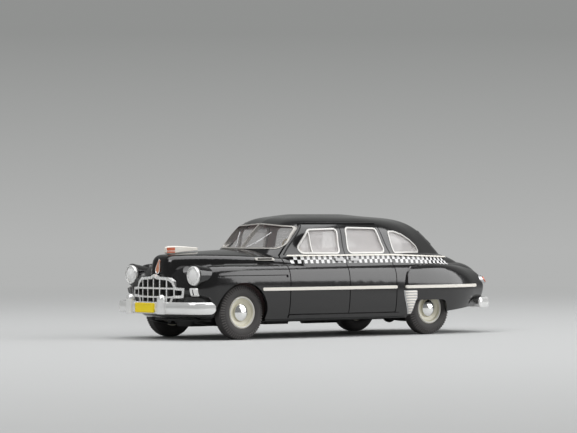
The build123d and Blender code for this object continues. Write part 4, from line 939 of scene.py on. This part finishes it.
class TAXI_OT_hood_trim(bpy.types.Operator):
    """Makes the tapered hood spear with its coloured inserts, and the rim of the emblem"""

    bl_idname = "taxi.hood_trim"
    bl_label = "Hood trim"

    def spear(self):
        _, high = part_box("hood_ornament")
        tip, top = high.x, high.z
        sections = [
            (tip - back * MM, half * MM, top - deep * MM, top - under * MM)
            for back, half, deep, under in SPEAR_SECTIONS
        ]
        spear = loft(sections)
        hood, _ = cast("body_shell", (tip - 3.0 * MM, 0, top + 5 * MM), DOWNWARD)
        foot = soft_box(
            (tip - 4.6 * MM, -0.3 * MM, hood.z - 0.4 * MM), (tip - 1.4 * MM, 0.3 * MM, top - 1.6 * MM), 0.1 * MM
        )
        ornament = place_piece("hood_spear", [spear, foot], "strip", "body")
        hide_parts("hood_ornament")
        inserts = []
        for _, side in SIDES:
            plan = [(tip - back * MM, side * half * MM) for back, half in INSERT_PLAN]
            for deep, under in ((1.35, 0.45), (2.05, 1.60)):
                inserts.append(prism(plan, top - deep * MM, top - under * MM))
        place_piece("ornament_insert", inserts, "badge", "body", smooth=False)

    def emblem_rim(self):
        low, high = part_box("hood_emblem")
        radius = (high.y - low.y) / 2
        steps, first, sweep, tall = 24, 155, 230, 1.12
        turns = [radians(first + sweep * step / steps) for step in range(steps + 1)]
        outline = [(radius * cos(turn), low.z + radius + tall * radius * sin(turn)) for turn in turns]
        outline += [(0.0, high.z), outline[0]]
        hits = [cast("body_shell", (AHEAD, 0.97 * y, z), BACKWARD) for y, z in outline]
        path = [point + normal * 0.3 * MM for point, normal in hits]
        place_piece("emblem_rim", [rod(path, 0.16 * MM)], "plating", "body")

    def execute(self, context):
        self.spear()
        self.emblem_rim()
        return {"FINISHED"}


class TAXI_OT_front_trim(bpy.types.Operator):
    """Makes the rim of the blank plate, the bars of the parking lamps and the heads of the bumper guards"""

    bl_idname = "taxi.front_trim"
    bl_label = "Front trim"

    def plate_rim(self):
        low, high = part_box("front_plate")
        front, edge = high.x + 0.02 * MM, 0.22 * MM
        near_y, far_y, near_z, far_z = low.y + edge, high.y - edge, low.z + edge, high.z - edge
        spots = ((near_y, near_z), (far_y, near_z), (far_y, far_z), (near_y, far_z))
        corners = [(front, *spot) for spot in spots]
        place_piece("plate_rim", [rod(corners + corners[:2], 0.14 * MM)], "plate", "body")

    def lamp_bars(self):
        low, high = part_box("parking_lamps")
        bars = []
        for _, side in SIDES:
            across = side * (high.y - 0.8 * MM)
            heights = [low.z + up * MM for up in (0.45, 1.25, 2.05)]
            hits = [cast("parking_lamps", (AHEAD, across, z), BACKWARD) for z in heights]
            bars.append(rod([point + normal * 0.03 * MM for point, normal in hits], 0.15 * MM))
        place_piece("parking_lamp_bars", bars, "slot_dark", "body")

    def guard_heads(self):
        _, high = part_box("front_bumper")
        sizes = (1.32, 1.42, 1.5)
        heads = []
        for _, side in SIDES:
            centre = Vector((high.x - 1.2 * MM, side * 7.7 * MM, high.z - 1.0 * MM))
            head = bmesh.new()
            bmesh.ops.create_uvsphere(head, u_segments=24, v_segments=16, radius=1.0)
            for vertex in head.verts:
                vertex.co = centre + Vector(a * b * MM for a, b in zip(vertex.co, sizes))
            heads.append(to_mesh(head, "guard_head"))
        place_piece("guard_heads", heads, "plating", "body")

    def execute(self, context):
        self.plate_rim()
        self.lamp_bars()
        self.guard_heads()
        return {"FINISHED"}


class TAXI_OT_vent_cores(bpy.types.Operator):
    """Lays a dark core along each hood side vent"""

    bl_idname = "taxi.vent_cores"
    bl_label = "Vent cores"

    def execute(self, context):
        low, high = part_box("hood_side_vents")
        middle = (low.z + high.z) / 2
        line = [low.x + share * (high.x - low.x) for share in (0.14, 0.32, 0.5, 0.68, 0.86)]
        cores = []
        for _, side in SIDES:
            hits = [cast("hood_side_vents", (x, side * BESIDE, middle), (0, -side, 0)) for x in line]
            cores.append(rod([point + normal * 0.04 * MM for point, normal in hits], 0.24 * MM))
        place_piece("vent_cores", cores, "slot_dark", "body")
        return {"FINISHED"}


class TAXI_OT_seat_rolls(bpy.types.Operator):
    """Adds the moulded rolls of both seat backs"""

    bl_idname = "taxi.seat_rolls"
    bl_label = "Seat rolls"

    def tree(self):
        tree, given = new_tree(
            "seat_rolls", Count="Int", Start="Vector", Step="Vector", Radius="Float", Length="Float"
        )
        spots = node(
            tree,
            "GeometryNodeMeshLine",
            {"Count": given["Count"], "Start Location": given["Start"], "Offset": given["Step"]},
        )
        roll = node(
            tree,
            "GeometryNodeMeshCylinder",
            {"Vertices": 12, "Radius": given["Radius"], "Depth": given["Length"]},
        )
        across = (pi / 2, 0.0, 0.0)
        placed = node(
            tree, "GeometryNodeInstanceOnPoints", {"Points": spots, "Instance": roll, "Rotation": across}
        )
        return end_tree(tree, placed, given)

    def execute(self, context):
        count = context.scene.taxi_trim.seat_rolls
        tree = self.tree()
        meshes = []
        for name in ("front_seat", "rear_seat"):
            low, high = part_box(name)
            rise = (high.z - low.z - 7.6 * MM) / count
            meshes.append(
                grown(
                    tree, "seat", Count=count, Start=(low.x + 3.75 * MM, 0.0, low.z + 6.6 * MM),
                    Step=(-0.083 * rise, 0.0, rise), Radius=0.52 * rise, Length=high.y - low.y - 1.6 * MM,
                )
            )
        place_piece("seat_rolls", meshes, "seat", "body")
        return {"FINISHED"}


class TAXI_OT_lining(bpy.types.Operator):
    """Lines the inside of the shell round the cabin"""

    bl_idname = "taxi.lining"
    bl_label = "Cabin lining"

    def tree(self):
        """Keeps the faces of the shell that look into the cabin, and gives them a thin skin."""
        tree, given = new_tree(
            "cabin_lining", Body="Object", Front="Float", Rear="Float", Low="Float", High="Float",
            Axis="Float", Gap="Float", Thickness="Float",
        )
        body = packed_mesh(tree, given["Body"])
        place = node(tree, "GeometryNodeInputPosition")
        x, y, z = parts(tree, place)
        facing = node(tree, "GeometryNodeInputNormal")
        from_axis = vector(tree, y=y, z=calc(tree, "SUBTRACT", z, given["Axis"]))
        unit = vector_calc(tree, "NORMALIZE", from_axis)
        outward = vector_calc(tree, "DOT_PRODUCT", facing, unit).outputs["Value"]
        upward = parts(tree, facing)[2]
        start = vector_calc(tree, "ADD", place, vector_calc(tree, "SCALE", facing, 0.02 * MM))
        in_groove = ray_on(tree, body, start, facing, 3 * MM)["Is Hit"]
        dropped = in_groove
        for operation, value, limit in (
            ("GREATER_THAN", outward, -0.6), ("GREATER_THAN", upward, 0.3),
            ("GREATER_THAN", x, given["Front"]), ("LESS_THAN", x, given["Rear"]),
            ("LESS_THAN", z, given["Low"]), ("GREATER_THAN", z, given["High"]),
        ):
            dropped = calc(tree, "MAXIMUM", dropped, calc(tree, operation, value, limit))
        kept = node(tree, "GeometryNodeDeleteGeometry", {"Geometry": body, "Selection": dropped}, domain="FACE")
        merged = node(tree, "GeometryNodeMergeByDistance", {"Geometry": kept, "Distance": 0.001 * MM})
        gap = vector_calc(tree, "SCALE", facing, given["Gap"])
        lifted = node(tree, "GeometryNodeSetPosition", {"Geometry": merged, "Offset": gap})
        return end_tree(tree, thick_sheet(tree, lifted, given["Thickness"]), given)

    def execute(self, context):
        lining = grown(
            self.tree(), "lining", Body=NODES["body_shell"], Front=18.5 * MM, Rear=-46.0 * MM, Low=21.4 * MM,
            High=36.7 * MM, Axis=27.5 * MM, Gap=0.03 * MM, Thickness=0.12 * MM,
        )
        place_piece("cabin_lining", [lining], "lining", "body")
        return {"FINISHED"}


class TAXI_OT_mirror(bpy.types.Operator):
    """Hangs the inside mirror behind the windscreen"""

    bl_idname = "taxi.mirror"
    bl_label = "Mirror"

    def execute(self, context):
        glass, _ = cast("windscreen", (AHEAD, 0.8 * MM, 32.6 * MM), BACKWARD)
        front, level, half_width = glass.x - 2.4 * MM, glass.z, 2.4 * MM
        head = soft_box(
            (front - 0.6 * MM, -half_width, level - 0.7 * MM), (front, half_width, level + 0.5 * MM), 0.2 * MM
        )
        stalk = rod([(front - 0.3 * MM, 0, level), (front - 0.9 * MM, 0, level + 2.4 * MM)], 0.2 * MM)
        place_piece("cabin_mirror", [head, stalk], "steel", "body")
        return {"FINISHED"}


class TAXI_OT_stage(bpy.types.Operator):
    """Sets the pale floor, the softboxes and the camera"""

    bl_idname = "taxi.stage"
    bl_label = "Stage"

    def paper(self, colours):
        """Studio paper: lit round the model, an even grey that darkens upwards further away."""
        material = finish("studio_paper", colours.floor, 0.02, (0.6, 0.7), 40.0, 0.0)
        tree = material.node_tree
        output = next(item for item in tree.nodes if item.type == "OUTPUT_MATERIAL")
        spot = node(tree, "ShaderNodeTexCoord").outputs["Object"]
        level = vector_calc(tree, "MULTIPLY", spot, (1.0, 1.0, 0.0))
        distance = vector_calc(tree, "LENGTH", level).outputs["Value"]
        far = node(
            tree,
            "ShaderNodeMapRange",
            {"Value": distance, "From Min": 0.08, "From Max": 0.75},
            interpolation_type="SMOOTHSTEP",
        )
        height = parts(tree, spot)[2]
        rise = node(tree, "ShaderNodeMapRange", {"Value": height, "From Min": 0.0, "From Max": 0.28})
        grey = mix_colours(tree, rise, [*colours.near, 1.0], [*colours.far, 1.0])
        glow = node(tree, "ShaderNodeEmission", {"Color": grey})
        path = node(tree, "ShaderNodeLightPath").outputs
        seen = calc(tree, "MAXIMUM", path["Is Camera Ray"], path["Is Glossy Ray"])
        seen = calc(tree, "MAXIMUM", seen, path["Is Transmission Ray"])
        share = calc(tree, "MULTIPLY", far, seen)
        mixed = node(tree, "ShaderNodeMixShader", {0: share, 1: shader_of(material), 2: glow})
        tree.links.new(mixed.outputs[0], output.inputs["Surface"])
        return material

    def sweep(self, scene, away):
        """Floor and backdrop in one curved sheet of paper, square to the view."""
        across = Vector((-away.y, away.x, 0))
        front, depth, bend, wide, tall, steps = -3.0, 2.4, 1.6, 5.0, 2.6, 24
        profile = [(front, 0.0), (depth, 0.0)]
        for step in range(1, steps + 1):
            turn = 0.5 * pi * step / steps
            profile.append((depth + bend * sin(turn), bend * (1 - cos(turn))))
        profile.append((depth + bend, tall + bend))
        shape = bmesh.new()
        rows = [
            [shape.verts.new(away * out + across * side * wide + Vector((0, 0, z))) for side in (-1, 1)]
            for out, z in profile
        ]
        for first, second in zip(rows, rows[1:]):
            shape.faces.new((first[0], first[1], second[1], second[0]))
        bmesh.ops.recalc_face_normals(shape, faces=shape.faces)
        data = to_mesh(shape, "studio_sweep")
        for polygon in data.polygons:
            polygon.use_smooth = True
        data.materials.append(self.paper(scene.taxi_colours))
        sweep = bpy.data.objects.new("studio_sweep", data)
        scene.collection.objects.link(sweep)

    def softbox(self, scene, name, place, size, power):
        """A soft rectangular light aimed at the model."""
        light = bpy.data.lights.new(name, "AREA")
        light.shape = "RECTANGLE"
        light.size, light.size_y = size
        light.energy = power
        lamp = bpy.data.objects.new(name, light)
        lamp.location = place
        lamp.rotation_euler = (Vector((0, 0, 0.02)) - Vector(place)).to_track_quat("-Z", "Y").to_euler()
        scene.collection.objects.link(lamp)

    def air(self, scene):
        """Even light from all round."""
        world = bpy.data.worlds.new("studio_air")
        world.use_nodes = True
        backdrop = world.node_tree.nodes["Background"]
        backdrop.inputs["Color"].default_value = (0.9, 0.92, 0.92, 1.0)
        backdrop.inputs["Strength"].default_value = scene.taxi_stage.ambient
        scene.world = world

    def camera(self, scene, gaze):
        """The camera at the photograph's viewing angle."""
        camera = bpy.data.cameras.new("photo_camera")
        camera.sensor_fit = "HORIZONTAL"
        camera.sensor_width = 36.0
        camera.lens = scene.taxi_stage.lens
        camera.clip_start, camera.clip_end = 0.01, 50.0
        viewer = bpy.data.objects.new("photo_camera", camera)
        viewer.location = scene.taxi_stage.eye
        viewer.rotation_euler = gaze.to_track_quat("-Z", "Y").to_euler()
        scene.collection.objects.link(viewer)
        scene.camera = viewer

    def execute(self, context):
        scene = context.scene
        stage = scene.taxi_stage
        gaze = Vector(stage.gaze).normalized()
        self.sweep(scene, Vector((gaze.x, gaze.y, 0)).normalized())
        self.softbox(scene, "key_softbox", (0.02, 0.10, 0.95), (1.5, 0.9), stage.key)
        self.softbox(scene, "fill_softbox", (0.85, 0.25, 0.75), (0.5, 0.4), stage.fill)
        self.softbox(scene, "side_softbox", (-0.85, 0.80, 0.52), (1.2, 0.9), stage.side)
        self.air(scene)
        self.camera(scene, gaze)
        scene.view_settings.view_transform = "Standard"
        return {"FINISHED"}


OPERATORS = (
    TAXI_OT_finishes,
    TAXI_OT_chequers,
    TAXI_OT_wheels,
    TAXI_OT_shield_ribs,
    TAXI_OT_door_seals,
    TAXI_OT_rear_bumper,
    TAXI_OT_headlamps,
    TAXI_OT_wipers,
    TAXI_OT_hood_trim,
    TAXI_OT_front_trim,
    TAXI_OT_vent_cores,
    TAXI_OT_seat_rolls,
    TAXI_OT_lining,
    TAXI_OT_mirror,
    TAXI_OT_stage,
)


class TAXI_PT_model(bpy.types.Panel):
    """Lists the steps and the settings of the model"""

    bl_label = "Taxi Model"
    bl_idname = "TAXI_PT_model"
    bl_space_type = "VIEW_3D"
    bl_region_type = "UI"
    bl_category = "Taxi Model"

    def draw(self, context):
        layout = self.layout
        for operator in OPERATORS:
            layout.operator(operator.bl_idname)
        for group in (context.scene.taxi_colours, context.scene.taxi_trim, context.scene.taxi_stage):
            box = layout.box()
            for key in group.__annotations__:
                box.prop(group, key)


GROUPS = {"taxi_colours": TaxiColours, "taxi_trim": TaxiTrim, "taxi_stage": TaxiStage}
CLASSES = (*GROUPS.values(), *OPERATORS, TAXI_PT_model)


def register():
    """Registers the classes and hangs the settings on the scene."""
    for cls in CLASSES:
        bpy.utils.register_class(cls)
    for name, group in GROUPS.items():
        setattr(bpy.types.Scene, name, bpy.props.PointerProperty(type=group))


def unregister():
    """Takes the settings and the classes away again."""
    for name in GROUPS:
        delattr(bpy.types.Scene, name)
    for cls in reversed(CLASSES):
        bpy.utils.unregister_class(cls)


def main():
    """Dresses the model step by step."""
    register()
    for operator in OPERATORS:
        group, name = operator.bl_idname.split(".")
        getattr(getattr(bpy.ops, group), name)()


if __name__ == "__main__":
    main()
